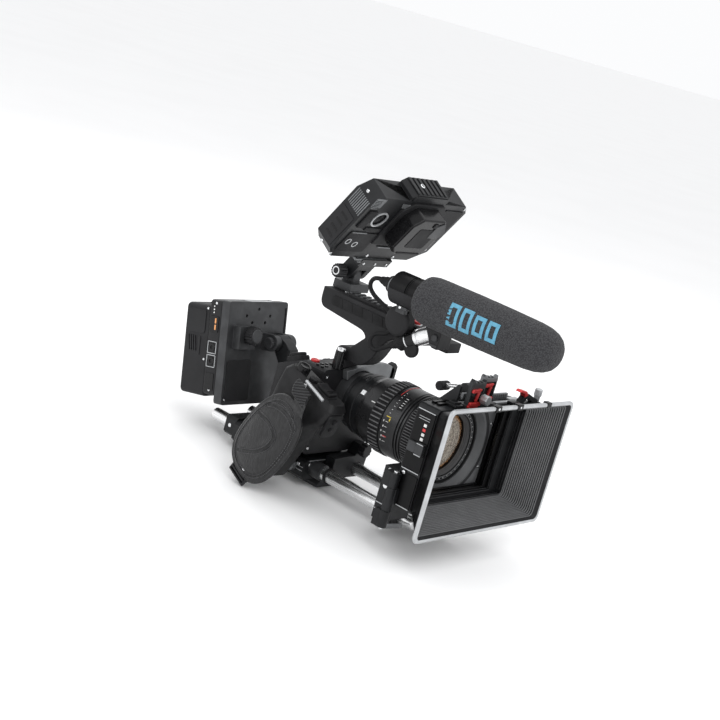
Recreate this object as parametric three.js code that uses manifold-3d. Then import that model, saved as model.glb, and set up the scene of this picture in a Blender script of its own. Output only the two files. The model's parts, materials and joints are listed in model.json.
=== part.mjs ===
// A handheld cinema camera rig: camera, lens, matte box, rods, microphone, monitor and battery.
// Millimetres, +Z up, the lens looks along -Y, and the operator's right hand is at -X.
// The origin is the middle of the tripod plate's underside, the face that the rig rests on.

import * as THREE from 'three';
import { mergeVertices } from 'three/addons/utils/BufferGeometryUtils.js';
import Module from 'manifold-3d';

const wasm = await Module();
wasm.setup();

// ---------------------------------------------------------------- driving dimensions

const GAP = 0.3; // clearance between pieces that touch
const AXIS_Z = 109; // height of the optical axis
const MOUNT_Y = -60; // plane of the lens mount

const ROD_R = 7.5; // 15 mm support rods
const ROD_X = 30; // half of the 60 mm rod spacing
const ROD_Z = AXIS_Z - 86;
const ROD_FRONT_Y = -196;
const ROD_REAR_Y = 118;

const BODY = { x: 57, front: -45, rear: 22, bottom: 41, top: 141 }; // camera body
const BODY_SLOPE = { start: -14, rearTop: 124 }; // the rear deck slopes down to the back
const LENS_R = 42; // outer radius of the lens rings

const FRAME_X = 84; // half width of the matte box frame
const FRAME_BACK_Y = -194.3;
const FRAME_FRONT_Y = -220;
const HOOD_FRONT_Y = -255.4;
const HOOD_FRONT = { width: 227, height: 143 };
const HOOD_REAR = { width: 167, height: 110 };
const SWING_X = -90.5; // vertical hinge of the matte box
const SWING_Y = -196;

const HANDLE_X = [-27, -3]; // side faces of the top handle
const BAR_TOP = 219;

const MIC_X = -52;
const MIC_Z = 257;
const MIC_BACK_Y = -102;
const FOAM_R = 26;

// The input plug's face in the audio module, and the angle at which it rises towards it.
const SOCKET = [-37.5, -154.5, 223];
const PLUG_ANGLE = 33;
const PLUG_LENGTH = 58;

const MONITOR_PIVOT = [4, 2, 240];
const MONITOR_TILT = 32.5; // degrees that the monitor leans forward
const CAGE = { x: 84, back: -6, front: 22, bottom: 30, top: 124 };

const BATTERY_PIVOT = [0, 96, 119];
const BATTERY_LEAN = -12; // degrees that the battery plate leans back

const GRIP_PIVOT = [-60, -40, 100];
const GRIP_TILT = 17;

// ---------------------------------------------------------------- finishes

function finish(color, roughness, metalness) {
  return new THREE.MeshStandardMaterial({ color, roughness, metalness });
}

const blackMetal = () => finish(0x17181a, 0.5, 0.7);
const blackPlastic = () => finish(0x1b1c1e, 0.6, 0.0);
const blackRubber = () => finish(0x131314, 0.85, 0.0);
const greyMetal = () => finish(0x5b5d60, 0.45, 0.7);
const steel = () => finish(0xb9bcc0, 0.3, 0.95);
const leather = () => finish(0x141414, 0.5, 0.0);
const webbing = () => finish(0x1a1a1b, 0.9, 0.0);
const foam = () => finish(0x2c2d2f, 0.98, 0.0);
const glass = () => finish(0x8a6a3c, 0.05, 0.0);
const redMetal = () => finish(0x9c1b20, 0.4, 0.6);

// ---------------------------------------------------------------- solid helpers

function toSolid(geometry) {
  const bare = geometry.clone();
  bare.deleteAttribute('normal');
  bare.deleteAttribute('uv');
  const merged = mergeVertices(bare, 1e-3);
  const vertProperties = new Float32Array(merged.attributes.position.array);
  const triVerts = new Uint32Array(merged.index.array);
  return new wasm.Manifold(new wasm.Mesh({ numProp: 3, vertProperties, triVerts }));
}

function toGeometry(solid) {
  const mesh = solid.getMesh();
  const geometry = new THREE.BufferGeometry();
  geometry.setAttribute('position', new THREE.BufferAttribute(new Float32Array(mesh.vertProperties), 3));
  geometry.setIndex(new THREE.BufferAttribute(new Uint32Array(mesh.triVerts), 1));
  geometry.computeVertexNormals();
  return geometry;
}

function join(...pieces) {
  return toGeometry(pieces.map(toSolid).reduce((sum, piece) => sum.add(piece)));
}

function cut(first, ...tools) {
  return toGeometry(tools.map(toSolid).reduce((rest, tool) => rest.subtract(tool), toSolid(first)));
}

function block([x0, x1], [y0, y1], [z0, z1]) {
  const geometry = new THREE.BoxGeometry(x1 - x0, y1 - y0, z1 - z0);
  return geometry.translate((x0 + x1) / 2, (y0 + y1) / 2, (z0 + z1) / 2);
}

// Cylinders along X, Y and Z; the last two numbers place the axis.
function pinX(radius, [x0, x1], y, z, sides = 24) {
  const geometry = new THREE.CylinderGeometry(radius, radius, x1 - x0, sides);
  return geometry.rotateZ(Math.PI / 2).translate((x0 + x1) / 2, y, z);
}

function pinY(radius, [y0, y1], x, z, sides = 24) {
  const geometry = new THREE.CylinderGeometry(radius, radius, y1 - y0, sides);
  return geometry.translate(x, (y0 + y1) / 2, z);
}

function pinZ(radius, [z0, z1], x, y, sides = 24) {
  const geometry = new THREE.CylinderGeometry(radius, radius, z1 - z0, sides);
  return geometry.rotateX(Math.PI / 2).translate(x, y, (z0 + z1) / 2);
}

function extrude(shape, depth, curveSegments = 6) {
  return new THREE.ExtrudeGeometry(shape, { depth, bevelEnabled: false, curveSegments });
}

// An outline in X and Z, thick along Y.
function plateXZ(shape, [y0, y1], curveSegments) {
  return extrude(shape, y1 - y0, curveSegments).rotateX(Math.PI / 2).translate(0, y1, 0);
}

// An outline in Y and Z, thick along X.
function plateYZ(shape, [x0, x1], curveSegments) {
  const turn = new THREE.Matrix4().makeBasis(
    new THREE.Vector3(0, 1, 0),
    new THREE.Vector3(0, 0, 1),
    new THREE.Vector3(1, 0, 0),
  );
  return extrude(shape, x1 - x0, curveSegments).applyMatrix4(turn).translate(x0, 0, 0);
}

function polygon(points) {
  return new THREE.Shape(points.map(([x, y]) => new THREE.Vector2(x, y)));
}

// A rectangle with round corners, given by its limits.
function roundRect([x0, x1], [y0, y1], radius) {
  const shape = new THREE.Shape();
  shape.absarc(x1 - radius, y1 - radius, radius, 0, Math.PI / 2);
  shape.absarc(x0 + radius, y1 - radius, radius, Math.PI / 2, Math.PI);
  shape.absarc(x0 + radius, y0 + radius, radius, Math.PI, 1.5 * Math.PI);
  shape.absarc(x1 - radius, y0 + radius, radius, 1.5 * Math.PI, 2 * Math.PI);
  return shape;
}

function hole(shape, x, y, radius) {
  const path = new THREE.Path();
  path.absarc(x, y, radius, 0, 2 * Math.PI, true);
  shape.holes.push(path);
  return shape;
}

// A ring turned about the Y axis from a closed outline of [radius, y] corners.
function ringY(outline, sides = 32) {
  const corners = outline.map(([r, y]) => new THREE.Vector2(r, y));
  if (THREE.ShapeUtils.isClockWise(corners)) {
    corners.reverse();
  }
  corners.push(corners[0].clone());
  return new THREE.LatheGeometry(corners, sides);
}

// A solid body turned about the Y axis; the outline starts and ends on the axis, y rising.
function turnedY(outline, sides = 32) {
  return new THREE.LatheGeometry(outline.map(([r, y]) => new THREE.Vector2(r, y)), sides);
}

// The corners of a round-cornered rectangle, as [a, b] pairs.
function roundLoop(a, b, width, height, radius, steps = 4) {
  const points = [];
  const centres = [[1, 1], [-1, 1], [-1, -1], [1, -1]];
  centres.forEach(([sa, sb], corner) => {
    for (let step = 0; step <= steps; step += 1) {
      const angle = (corner + step / steps) * Math.PI / 2;
      points.push([
        a + sa * (width / 2 - radius) + radius * Math.cos(angle),
        b + sb * (height / 2 - radius) + radius * Math.sin(angle),
      ]);
    }
  });
  return points;
}

// Six times the volume inside a triangle mesh; it is negative where the faces point inwards.
function signedVolume(points, triangles) {
  let sum = 0;
  const [a, b, c] = [new THREE.Vector3(), new THREE.Vector3(), new THREE.Vector3()];
  for (let i = 0; i < triangles.length; i += 3) {
    a.fromArray(points, 3 * triangles[i]);
    b.fromArray(points, 3 * triangles[i + 1]);
    c.fromArray(points, 3 * triangles[i + 2]);
    sum += a.dot(b.cross(c));
  }
  return sum;
}

// A skin through equal loops of 3-D points. An open row of loops is capped, a closed one is a ring.
function loft(loops, closed = false) {
  const count = loops[0].length;
  const positions = loops.flat(2);
  const index = [];
  const last = closed ? loops.length : loops.length - 1;
  for (let row = 0; row < last; row += 1) {
    const next = (row + 1) % loops.length;
    for (let i = 0; i < count; i += 1) {
      const j = (i + 1) % count;
      index.push(row * count + i, row * count + j, next * count + j);
      index.push(row * count + i, next * count + j, next * count + i);
    }
  }
  if (!closed) {
    const top = (loops.length - 1) * count;
    for (let i = 1; i < count - 1; i += 1) {
      index.push(0, i + 1, i);
      index.push(top, top + i, top + i + 1);
    }
  }
  if (signedVolume(positions, index) < 0) {
    index.reverse();
  }
  const geometry = new THREE.BufferGeometry();
  geometry.setAttribute('position', new THREE.BufferAttribute(new Float32Array(positions), 3));
  geometry.setIndex(index);
  geometry.computeVertexNormals();
  return geometry;
}

// An eight-sided cord through hand-chosen points.
function cordTube(points, radius, steps) {
  const path = new THREE.CatmullRomCurve3(points.map((p) => new THREE.Vector3(...p)));
  const corners = [];
  for (let i = 0; i < 8; i += 1) {
    const angle = (i * Math.PI) / 4;
    corners.push([radius * Math.cos(angle), radius * Math.sin(angle)]);
  }
  return new THREE.ExtrudeGeometry(polygon(corners), { steps, extrudePath: path, bevelEnabled: false });
}

const rig = new THREE.Group();

function add(parent, name, geometry, material) {
  const mesh = new THREE.Mesh(geometry, material);
  mesh.name = name;
  parent.add(mesh);
  return mesh;
}

function groupAt([x, y, z], tiltDegrees = 0) {
  const group = new THREE.Group();
  group.position.set(x, y, z);
  group.rotation.x = THREE.MathUtils.degToRad(tiltDegrees);
  rig.add(group);
  return group;
}

// ---------------------------------------------------------------- base and rods

function rodHoles(shape) {
  hole(shape, ROD_X, ROD_Z, ROD_R + GAP);
  hole(shape, -ROD_X, ROD_Z, ROD_R + GAP);
  return shape;
}

function buildBase() {
  const dovetail = polygon([[-22, 0], [22, 0], [22, 3], [18, 9], [-18, 9], [-22, 3]]);
  const tripodPlate = cut(
    plateXZ(dovetail, [-50, 50]),
    pinZ(4.8, [-1, 6], 0, 30),
    pinZ(3.2, [-1, 6], 0, -30),
  );
  add(rig, 'tripod_plate', tripodPlate, blackMetal());

  const base = polygon([[-43, 9.3], [43, 9.3], [47, 13], [47, 30], [43, 33], [-43, 33], [-47, 30], [-47, 13]]);
  const riser = block([-32, 32], [-30, 48], [32, 40.7]);
  add(rig, 'base_plate', join(plateXZ(rodHoles(base), [-45, 70], 8), riser), blackMetal());

  const clamp = polygon([[-14, 14], [40, 13], [42, 26], [44, 50], [38, 53], [28, 52], [20, 40], [-14, 38]]);
  add(rig, 'front_clamp', plateXZ(hole(clamp, ROD_X, ROD_Z, ROD_R + GAP), [-59, -45.6], 8), blackMetal());
  add(rig, 'front_clamp_knob', pinY(8, [-68, -59.3], 29, 48, 12), blackPlastic());

  add(rig, 'rod_left', pinY(ROD_R, [ROD_FRONT_Y, ROD_REAR_Y], ROD_X, ROD_Z), steel());
  add(rig, 'rod_right', pinY(ROD_R, [ROD_FRONT_Y, ROD_REAR_Y], -ROD_X, ROD_Z), steel());

  const lever = join(
    pinX(6.5, [-53, -47.3], -28, 22, 16),
    plateYZ(polygon([[-32, 26], [-26, 26], [-11, 37], [-15, 39.5]]), [-52.5, -48.5]),
  );
  add(rig, 'base_clamp_lever', lever, greyMetal());
}

// ---------------------------------------------------------------- camera

function buildCamera() {
  const outline = roundRect([-BODY.x, BODY.x], [BODY.bottom, BODY.top], 7);
  const aboveDeck = plateYZ(polygon([
    [BODY_SLOPE.start, BODY.top],
    [BODY_SLOPE.start, BODY.top + 5],
    [BODY.rear + 1, BODY.top + 5],
    [BODY.rear + 1, BODY_SLOPE.rearTop],
    [BODY.rear, BODY_SLOPE.rearTop],
  ]), [-BODY.x - 1, BODY.x + 1]);
  const body = cut(
    plateXZ(outline, [BODY.front, BODY.rear], 4),
    aboveDeck,
    pinY(22, [BODY.front - 1, BODY.front + 28], 0, AXIS_Z, 32),
    pinZ(5.3, [136, 142], -44, -18, 16),
  );
  add(rig, 'camera_body', body, blackPlastic());

  const bezel = new THREE.Shape();
  const start = THREE.MathUtils.degToRad(138);
  const end = THREE.MathUtils.degToRad(35);
  bezel.moveTo(57, 126);
  bezel.lineTo(57, 141);
  bezel.quadraticCurveTo(54, 146, 42, 148);
  bezel.quadraticCurveTo(20, 151, -28, 141.5);
  bezel.absarc(0, AXIS_Z, 32, start, end, true);
  add(rig, 'front_bezel', plateXZ(bezel, [-53, BODY.front - GAP], 14), greyMetal());

  const mount = ringY([[22, MOUNT_Y], [29, MOUNT_Y], [31, -58], [31, -45.3], [22, -45.3]]);
  add(rig, 'lens_mount', mount.translate(0, 0, AXIS_Z), greyMetal());
  add(rig, 'image_sensor', block([-18, 18], [-21, -17.6], [AXIS_Z - 12, AXIS_Z + 12]), glass());

  add(rig, 'record_button', pinZ(5, [138.5, 143.2], -44, -18, 16), redMetal());
  add(rig, 'nd_dial', pinX(14, [57.3, 61.5], -18, 88, 24), blackPlastic());
  add(rig, 'camera_battery', block([-22, 34], [BODY.rear + GAP, 37], [50, 104]), blackPlastic());
}

// ---------------------------------------------------------------- lens

function buildLens() {
  const lens = groupAt([0, 0, AXIS_Z]);
  const adapter = [
    [24, -86], [36, -86], [36, -72], [33, -70], [33, MOUNT_Y - GAP], [24, MOUNT_Y - GAP],
  ];
  add(lens, 'mount_adapter', ringY(adapter), blackMetal());
  const barrel = [
    [27.2, -178], [34, -178], [34, -154.6], [41, -154.6], [41, -123.4], [34, -123.4],
    [34, -107.6], [38.5, -107.6], [38.5, -90], [37, -86.3], [27.2, -86.3],
  ];
  add(lens, 'lens_barrel', ringY(barrel), blackMetal());
  add(lens, 'zoom_ring', ringY([[34.3, -123], [LENS_R, -123], [LENS_R, -108], [34.3, -108]]), blackRubber());
  add(lens, 'focus_ring', ringY([[34.3, -177.6], [LENS_R, -177.6], [LENS_R, -155], [34.3, -155]]), blackRubber());
  const front = [
    [22, -178], [33.5, -178], [36, -189], [41, -189], [41, -178.3], [26.8, -178.3], [26.8, -135], [22, -135],
  ];
  add(lens, 'lens_front', ringY(front), blackMetal());
  const dome = [[0, -184.5], [14, -183.5], [26, -181], [32.6, -178.8], [32.6, -178.3], [0, -178.3]];
  add(lens, 'front_glass', turnedY(dome), glass());
}

// ---------------------------------------------------------------- matte box

function buildBracket() {
  const clampOutline = polygon([
    [-43, 13], [40, 13], [44, 17], [44, 31], [40, 35], [-43, 35], [-47, 31], [-47, 17],
  ]);
  const upright = block([-84, -41], [-191.5, -176], [30, 88]);
  const knuckles = [[28, 46], [72, 88]].map(([z0, z1]) => join(
    pinZ(5.5, [z0, z1], SWING_X, SWING_Y, 20),
    block([SWING_X - 5, -74], [-193.5, -186], [z0, z1]),
  ));
  const clamp = plateXZ(rodHoles(clampOutline), [-177, -152], 8);
  const bored = cut(join(clamp, upright, ...knuckles), pinZ(3.3, [20, 95], SWING_X, SWING_Y, 16));
  add(rig, 'mattebox_bracket', bored, blackMetal());
  add(rig, 'swing_pin', pinZ(3, [26, 90], SWING_X, SWING_Y, 16), steel());
  const lever = join(
    pinX(5.5, [-53, -47.3], -163, 24, 16),
    plateYZ(polygon([[-166, 20], [-161, 19], [-177, 12], [-193, 20], [-192, 25], [-178, 18]]), [-52.5, -48.5]),
  );
  add(rig, 'rod_clamp_lever', lever, greyMetal());
}

function buildFrame() {
  const box = plateXZ(roundRect([-FRAME_X, FRAME_X], [52, 165], 6), [FRAME_FRONT_Y, FRAME_BACK_Y], 3);
  const topClamp = block([-22, 22], [-200, -183], [157, 168]);
  const knuckle = join(
    pinZ(5.3, [46.5, 71.5], SWING_X, SWING_Y, 20),
    block([SWING_X, -82], [-202.2, -196], [46.5, 71.5]),
  );
  const opening = pinY(50, [-205, -190], 0, AXIS_Z, 40);
  const window = join(
    block([-66, 66], [-213, -197.4], [62, 156]),
    block([-79, 79], [-221, -212], [58, 160]),
  );
  const slots = [-199.6, -206].map((y) => block([-69, 69], [y - 2.2, y + 2.2], [57, 170]));
  const frame = cut(
    join(box, topClamp, knuckle),
    opening,
    window,
    ...slots,
    pinZ(3.3, [40, 80], SWING_X, SWING_Y, 16),
  );
  add(rig, 'mattebox_frame', frame, blackMetal());

  [-199.6, -206].forEach((y, i) => {
    const tray = cut(
      join(
        block([-68.5, 68.5], [y - 1.8, y + 1.8], [57.4, 167]),
        block([-20 + 46 * i, 8 + 46 * i], [y - 1.8, y + 1.8], [166, 174]),
      ),
      block([-58, 58], [y - 3, y + 3], [65, 153]),
    );
    add(rig, `filter_tray_${i + 1}`, tray, blackMetal());
  });

  add(rig, 'side_latch', block([-89.5, -84.3], [-218, -197], [113, 127]), greyMetal());

  const flagBracket = join(
    block([-40, 16], [-220, -208.7], [165.3, 169]),
    block([-37, -12], [-220, -214.6], [167, 194]),
    block([-10, 15], [-214, -208.7], [167, 197]),
  );
  add(rig, 'flag_bracket', flagBracket, blackMetal());
  add(rig, 'flag_knob', pinY(5.5, [-230, -220.3], -16, 176, 12), steel());

  const handle = join(
    pinX(6, [-6, 8], -190, 174.5, 16),
    plateYZ(polygon([[-186, 173], [-187, 177], [-160, 168], [-159, 164]]), [-2, 3]),
    pinX(5, [-8, 8], -160, 166, 12),
  );
  add(rig, 'locking_lever', handle, steel());
}

function hoodLoop(size, inset, y) {
  const width = size.width - 2 * inset;
  const height = size.height - 2 * inset;
  return roundLoop(0, AXIS_Z, width, height, 7 - inset / 2).map(([x, z]) => [x, y, z]);
}

function buildHood() {
  const rearY = FRAME_FRONT_Y - GAP;
  const hood = loft([
    hoodLoop(HOOD_REAR, 3, rearY),
    hoodLoop(HOOD_REAR, 0, rearY),
    hoodLoop(HOOD_FRONT, 1.5, HOOD_FRONT_Y + 4),
    hoodLoop(HOOD_FRONT, 0, HOOD_FRONT_Y + 4),
    hoodLoop(HOOD_FRONT, 0, HOOD_FRONT_Y),
    hoodLoop(HOOD_FRONT, 4, HOOD_FRONT_Y),
  ], true);
  add(rig, 'hood', hood, blackPlastic());
}

// ---------------------------------------------------------------- top handle and microphone

function buildHandle() {
  const side = new THREE.Shape();
  side.moveTo(-28, 141.4);
  side.lineTo(-28, 158);
  side.quadraticCurveTo(-29, 165, -36, 166);
  side.lineTo(-46, 167);
  side.lineTo(-62, 184);
  side.quadraticCurveTo(-60, 190, -50, 191);
  side.lineTo(4, 196);
  side.quadraticCurveTo(12, 198, 12, 208);
  side.lineTo(12, BAR_TOP);
  side.lineTo(-128, BAR_TOP);
  side.lineTo(-136, 212);
  side.lineTo(-136, 202);
  side.lineTo(-98, 195);
  side.quadraticCurveTo(-90, 190, -84, 178);
  side.quadraticCurveTo(-76, 156, -62, 152);
  side.lineTo(-44.6, 151.2);
  side.lineTo(-44.6, 141.4);
  const nose = block(HANDLE_X, [-170, -130], [206, 217]);
  const rail = block([-22, -8], [-100, -20], [BAR_TOP - 1, 223]);
  const well = pinZ(5.3, [216, BAR_TOP + 1], -15, -114, 16);
  add(rig, 'top_handle', cut(join(plateYZ(side, HANDLE_X, 6), nose, rail), well), blackPlastic());

  add(rig, 'handle_record_button', pinZ(5, [218, 222.5], -15, -114, 16), redMetal());

  // The socket's rear face is square to the plug's axis.
  const audio = polygon([[-150.5, 229.9], [-161.4, 213.1], [-165, 211], [-172, 211], [-172, 229.9]]);
  add(rig, 'audio_module', plateYZ(audio, [-49, HANDLE_X[0] - GAP]), blackPlastic());
}

function halfRing(inner, outer, [y0, y1], upper) {
  const shape = new THREE.Shape();
  const lift = upper ? GAP / 2 : -GAP / 2;
  const turn = upper ? 0 : Math.PI;
  shape.absarc(MIC_X, MIC_Z + lift, outer, turn, turn + Math.PI, false);
  shape.absarc(MIC_X, MIC_Z + lift, inner, turn + Math.PI, turn, true);
  return plateXZ(shape, [y0, y1], 14);
}

function buildMicrophone() {
  const lobe = join(
    pinX(16, [-48, -38], -113, 222, 24),
    pinX(7, [-39, HANDLE_X[0] - GAP], -112, 212, 16),
  );
  const riser = block([-46, -39], [-124, -106], [228, 244]);
  const channel = pinY(11.6, [-160, -90], MIC_X, MIC_Z, 24);
  const [, socketY, socketZ] = SOCKET;
  const plugWay = pinY(9.4, [0, 80], 0, 0, 20)
    .rotateX(THREE.MathUtils.degToRad(-PLUG_ANGLE))
    .translate(SOCKET[0], socketY, socketZ);
  const cradle = halfRing(11.6, 17.5, [-140, -106], false);
  const holder = cut(join(lobe, riser, cradle), channel, plugWay);
  add(rig, 'mic_holder', holder, blackPlastic());
  add(rig, 'mic_clamp', halfRing(11.6, 17.5, [-140, -106], true), blackPlastic());

  const mic = groupAt([MIC_X, MIC_BACK_Y, MIC_Z]);
  const capsule = [[0, -134], [9.5, -134], [11, -130], [11, -2], [9.5, 0], [0, 0]];
  add(mic, 'mic_body', turnedY(capsule, 24), blackMetal());
  const windscreen = [
    [11.4, -137], [11.4, -42], [18, -39], [24, -42], [26, -50], [FOAM_R, -98], [24.5, -183],
    [21, -198], [14, -207.5], [6, -210.5], [0.01, -211], [0.01, -137],
  ];
  add(mic, 'mic_windscreen', ringY(windscreen), foam());
  const plug = turnedY([[0, 0.3], [9, 0.3], [9, 7], [5.5, 14], [3.4, 20.5], [0, 20.5]], 20);
  add(mic, 'mic_plug', plug, blackRubber());

  const input = groupAt(SOCKET, 180 - PLUG_ANGLE);
  const barrel = turnedY([[0, 0], [9, 0], [9, 44], [6, 48], [3.4, PLUG_LENGTH], [0, PLUG_LENGTH]], 20);
  add(input, 'input_plug', barrel.rotateX(Math.PI), steel());

  const route = [
    [-52, -81.2, 257], [-52, -77.5, 256.9], [-51.5, -71.5, 254.5], [-50.5, -68, 249],
    [-48.5, -68.5, 242.5], [-45, -73, 236.5], [-40.5, -80, 231.5], [-36.5, -88, 226.5],
    [-33.5, -94, 219.5], [-33, -97.5, 212], [-33, -97.5, 205.5], [-33.8, -92.5, 200.5],
    [-35, -85.5, 198], [-36.5, -79.5, 194], [-37.3, -77.5, 187.5], [-37.5, -81, 181.8],
    [-37.5, -88.5, 180.4], [-37.5, -96, 184.9], [-37.5, -105.4, 191.1],
  ];
  add(rig, 'mic_cable', cordTube(route, 2.4, 40), blackRubber());
}

// ---------------------------------------------------------------- monitor

function buildMonitor() {
  const [px, py, pz] = MONITOR_PIVOT;
  const foot = block([px - 18, px + 16], [py - 16, py + 9], [BAR_TOP + GAP, 229]);
  const tongue = join(
    block([px - 6, px + 6], [py - 8, py + 8], [228, pz]),
    pinX(8, [px - 6, px + 6], py, pz, 20),
  );
  add(rig, 'monitor_base', join(foot, tongue), blackMetal());

  const monitor = groupAt(MONITOR_PIVOT, MONITOR_TILT);
  const cheeks = [[-14, -6.3], [6.3, 14]].map((x) => join(
    pinX(8.5, x, 0, 0, 20),
    block(x, [-8.5, 8.5], [0, 20]),
  ));
  const bridge = block([-14, 14], [-8.5, 8.5], [11, 20]);
  const quickRelease = block([-18, 34], [-9, 11], [19, 29.7]);
  add(monitor, 'tilt_head', join(...cheeks, bridge, quickRelease), blackMetal());
  add(monitor, 'tilt_knob', join(pinX(4, [-18, -14.3], 0, 0, 16), pinX(8, [-30, -17.9], 0, 0, 12)), blackPlastic());

  const cage = new THREE.Shape();
  const { x, bottom, top } = CAGE;
  cage.moveTo(-x + 12, bottom);
  cage.lineTo(x - 22, bottom);
  cage.lineTo(x, bottom + 16);
  cage.lineTo(x, top - 10);
  cage.lineTo(x - 10, top);
  cage.lineTo(-x + 14, top);
  cage.lineTo(-x, top - 14);
  cage.lineTo(-x, bottom + 12);
  const pocket = block([-76, 76], [0.6, CAGE.front + 1], [37, 117]);
  const porthole = pinY(9, [-10, 5], -50, 92, 24);
  const screwHoles = [[-54, 52], [62, 46]].map(([hx, hv]) => pinY(3, [-10, 5], hx, hv, 12));
  const shoeOutline = polygon([[-28, 123], [36, 123], [36, 128], [30, 134], [-22, 134], [-28, 128]]);
  const cageBlank = join(plateXZ(cage, [CAGE.back, CAGE.front]), plateXZ(shoeOutline, [-5.5, 20]));
  const shell = cut(cageBlank, pocket, porthole, ...screwHoles);
  add(monitor, 'monitor_cage', shell, blackMetal());
  add(monitor, 'monitor_body', block([-75.5, 75.5], [1, 20], [37.4, 116.6]), blackPlastic());
  add(monitor, 'monitor_screen', block([-70, 70], [20.3, 21.6], [42, 112]), glass());

  const packOutline = polygon([[-12, 62], [32, 62], [38, 70], [38, 104], [26, 118], [-12, 118], [-22, 106], [-22, 72]]);
  add(monitor, 'monitor_battery', plateXZ(packOutline, [-27, CAGE.back - GAP]), blackPlastic());
}

// ---------------------------------------------------------------- battery plate

function buildBatteryPlate() {
  const rodClamp = polygon([[-40, 12], [40, 12], [43, 15], [43, 31], [40, 35], [-40, 35], [-43, 31], [-43, 15]]);
  add(rig, 'rear_rod_clamp', plateXZ(rodHoles(rodClamp), [72, 88], 8), blackMetal());
  const [, py, pz] = BATTERY_PIVOT;
  const arm = join(
    block([18, 34], [73, 86], [35.3, 112]),
    plateYZ(polygon([[73, 100], [86, 98], [py, pz - 10], [py, pz + 10], [82, 124], [73, 118]]), [18, 34]),
    pinX(10, [18, 34], py, pz, 20),
  );
  add(rig, 'battery_arm', arm, blackMetal());

  const battery = groupAt(BATTERY_PIVOT, BATTERY_LEAN);
  const face = roundRect([-50, 50], [-75, 47], 4);
  [[-20, 30], [20, 30], [-10, 22], [12, 22], [0, 38]].forEach(([hx, hv]) => hole(face, hx, hv, 2));
  const ears = [[9, 17.7], [34.3, 43]].map((x) => join(
    pinX(10, x, 0, 0, 20),
    block(x, [0, 17], [-10, 10]),
  ));
  const boss = block([-40, -13], [5, 17], [-8, 19]);
  add(battery, 'battery_plate', join(plateXZ(face, [15.7, 28], 3), boss, ...ears), blackMetal());
  add(battery, 'tilt_lock_knob', pinY(11, [-7, 4.7], -24, 9, 20), blackPlastic());
  add(battery, 'power_hub', plateXZ(roundRect([-50, 50], [-66, 46], 4), [28.3, 47], 3), blackPlastic());
  add(battery, 'v_battery', plateXZ(roundRect([-48, 48], [-70, 38], 6), [47.3, 88], 3), blackPlastic());
}

// ---------------------------------------------------------------- hand grip and strap

function gripLoop([x0, x1], [y0, y1], radius, z) {
  return roundLoop((x0 + x1) / 2, (y0 + y1) / 2, x1 - x0, y1 - y0, radius).map(([x, y]) => [x, y, z]);
}

function buildGrip() {
  const grip = groupAt(GRIP_PIVOT, GRIP_TILT);
  const handful = loft([
    gripLoop([-38, -9], [-20, 20], 8, -84),
    gripLoop([-41, -6], [-27, 25], 11, -78),
    gripLoop([-44, -4.5], [-32, 28], 13, -42),
    gripLoop([-40, -4.5], [-36, 28], 12, -6),
    gripLoop([-35, -4.5], [-48, 31], 8, 10),
    gripLoop([-33, -4.5], [-51, 32], 7, 27),
    gripLoop([-29, -7], [-46, 28], 6, 34),
  ]);
  const pocket = pinZ(8.4, [30, 40], -20, 17, 20);
  const rosette = pinX(19, [-12, 2.7], 0, 0, 24);
  add(grip, 'side_grip', cut(join(handful, rosette), pocket), blackRubber());
  add(grip, 'grip_button', pinZ(8, [32, 40], -20, 17, 20), blackPlastic());
  add(grip, 'zoom_rocker', block([-26, -12], [-33, -12], [36, 40]), blackPlastic());
}

// A flat strap through hand-chosen points; its width lies along one direction all the way.
function strap(points, halfWidth, thickness, widthDirection) {
  const path = points.map((p) => new THREE.Vector3(...p));
  const across = new THREE.Vector3(...widthDirection).normalize();
  return loft(path.map((point, i) => {
    const before = path[Math.max(i - 1, 0)];
    const after = path[Math.min(i + 1, path.length - 1)];
    const normal = after.clone().sub(before).cross(across).normalize();
    const corners = [[-1, -1], [1, -1], [1, 1], [-1, 1]];
    return corners.map(([side, face]) => point.clone()
      .addScaledVector(across, side * halfWidth)
      .addScaledVector(normal, face * thickness / 2)
      .toArray());
  }));
}

function buildStrap() {
  // The pad is a flat oval, tilted like the back of the hand, and bowed outward.
  const centre = [-121, -43.5, 65];
  const lean = THREE.MathUtils.degToRad(27);
  const up = [-Math.sin(lean), Math.cos(lean)];
  const rows = [
    [-57, 15, 2, 8], [-50, 25, 1.2, 12], [-30, 32, 0.3, 13], [0, 34, 0, 13], [30, 32, 0.6, 13],
    [46, 27, 1.4, 12], [54, 20, 2.4, 8],
  ];
  const pad = loft(rows.map(([v, halfWidth, inward, thick]) => (
    roundLoop(0, 0, thick, 2 * halfWidth, thick / 2 - 0.1, 3).map(([t, w]) => [
      centre[0] + inward + t,
      centre[1] + v * up[0] + w * up[1],
      centre[2] + v * up[1] - w * up[0],
    ])
  )));
  add(rig, 'strap_pad', pad, leather());

  const across = [0, up[1], -up[0]];
  const upper = [[-98.4, -57.5, 127.5], [-104, -59.5, 126], [-112, -63.5, 122.5], [-118.6, -69.2, 117.2]];
  add(rig, 'strap_upper', strap(upper, 12, 2.2, across), webbing());
  const lower = [[-119.6, -17, 12.8], [-117, -15.6, 9.6], [-110, -15.2, 9.4], [-104.5, -16.2, 13.4], [-102.4, -18.6, 21]];
  add(rig, 'strap_lower', strap(lower, 11, 2.2, across), webbing());
}

buildBase();
buildCamera();
buildLens();
buildBracket();
buildFrame();
buildHood();
buildHandle();
buildMicrophone();
buildMonitor();
buildBatteryPlate();
buildGrip();
buildStrap();

export default rig;
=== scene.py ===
"""The finished look of the cinema camera rig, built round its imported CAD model.

Pieces are written in millimetres in the part's own frame: +Z up, the lens looks along -Y, and the
operator's right hand is at -X. They are scaled to metres when they are made.
"""

import json
import math
import random

import bmesh
import bpy
from mathutils import Matrix, Vector

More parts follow.
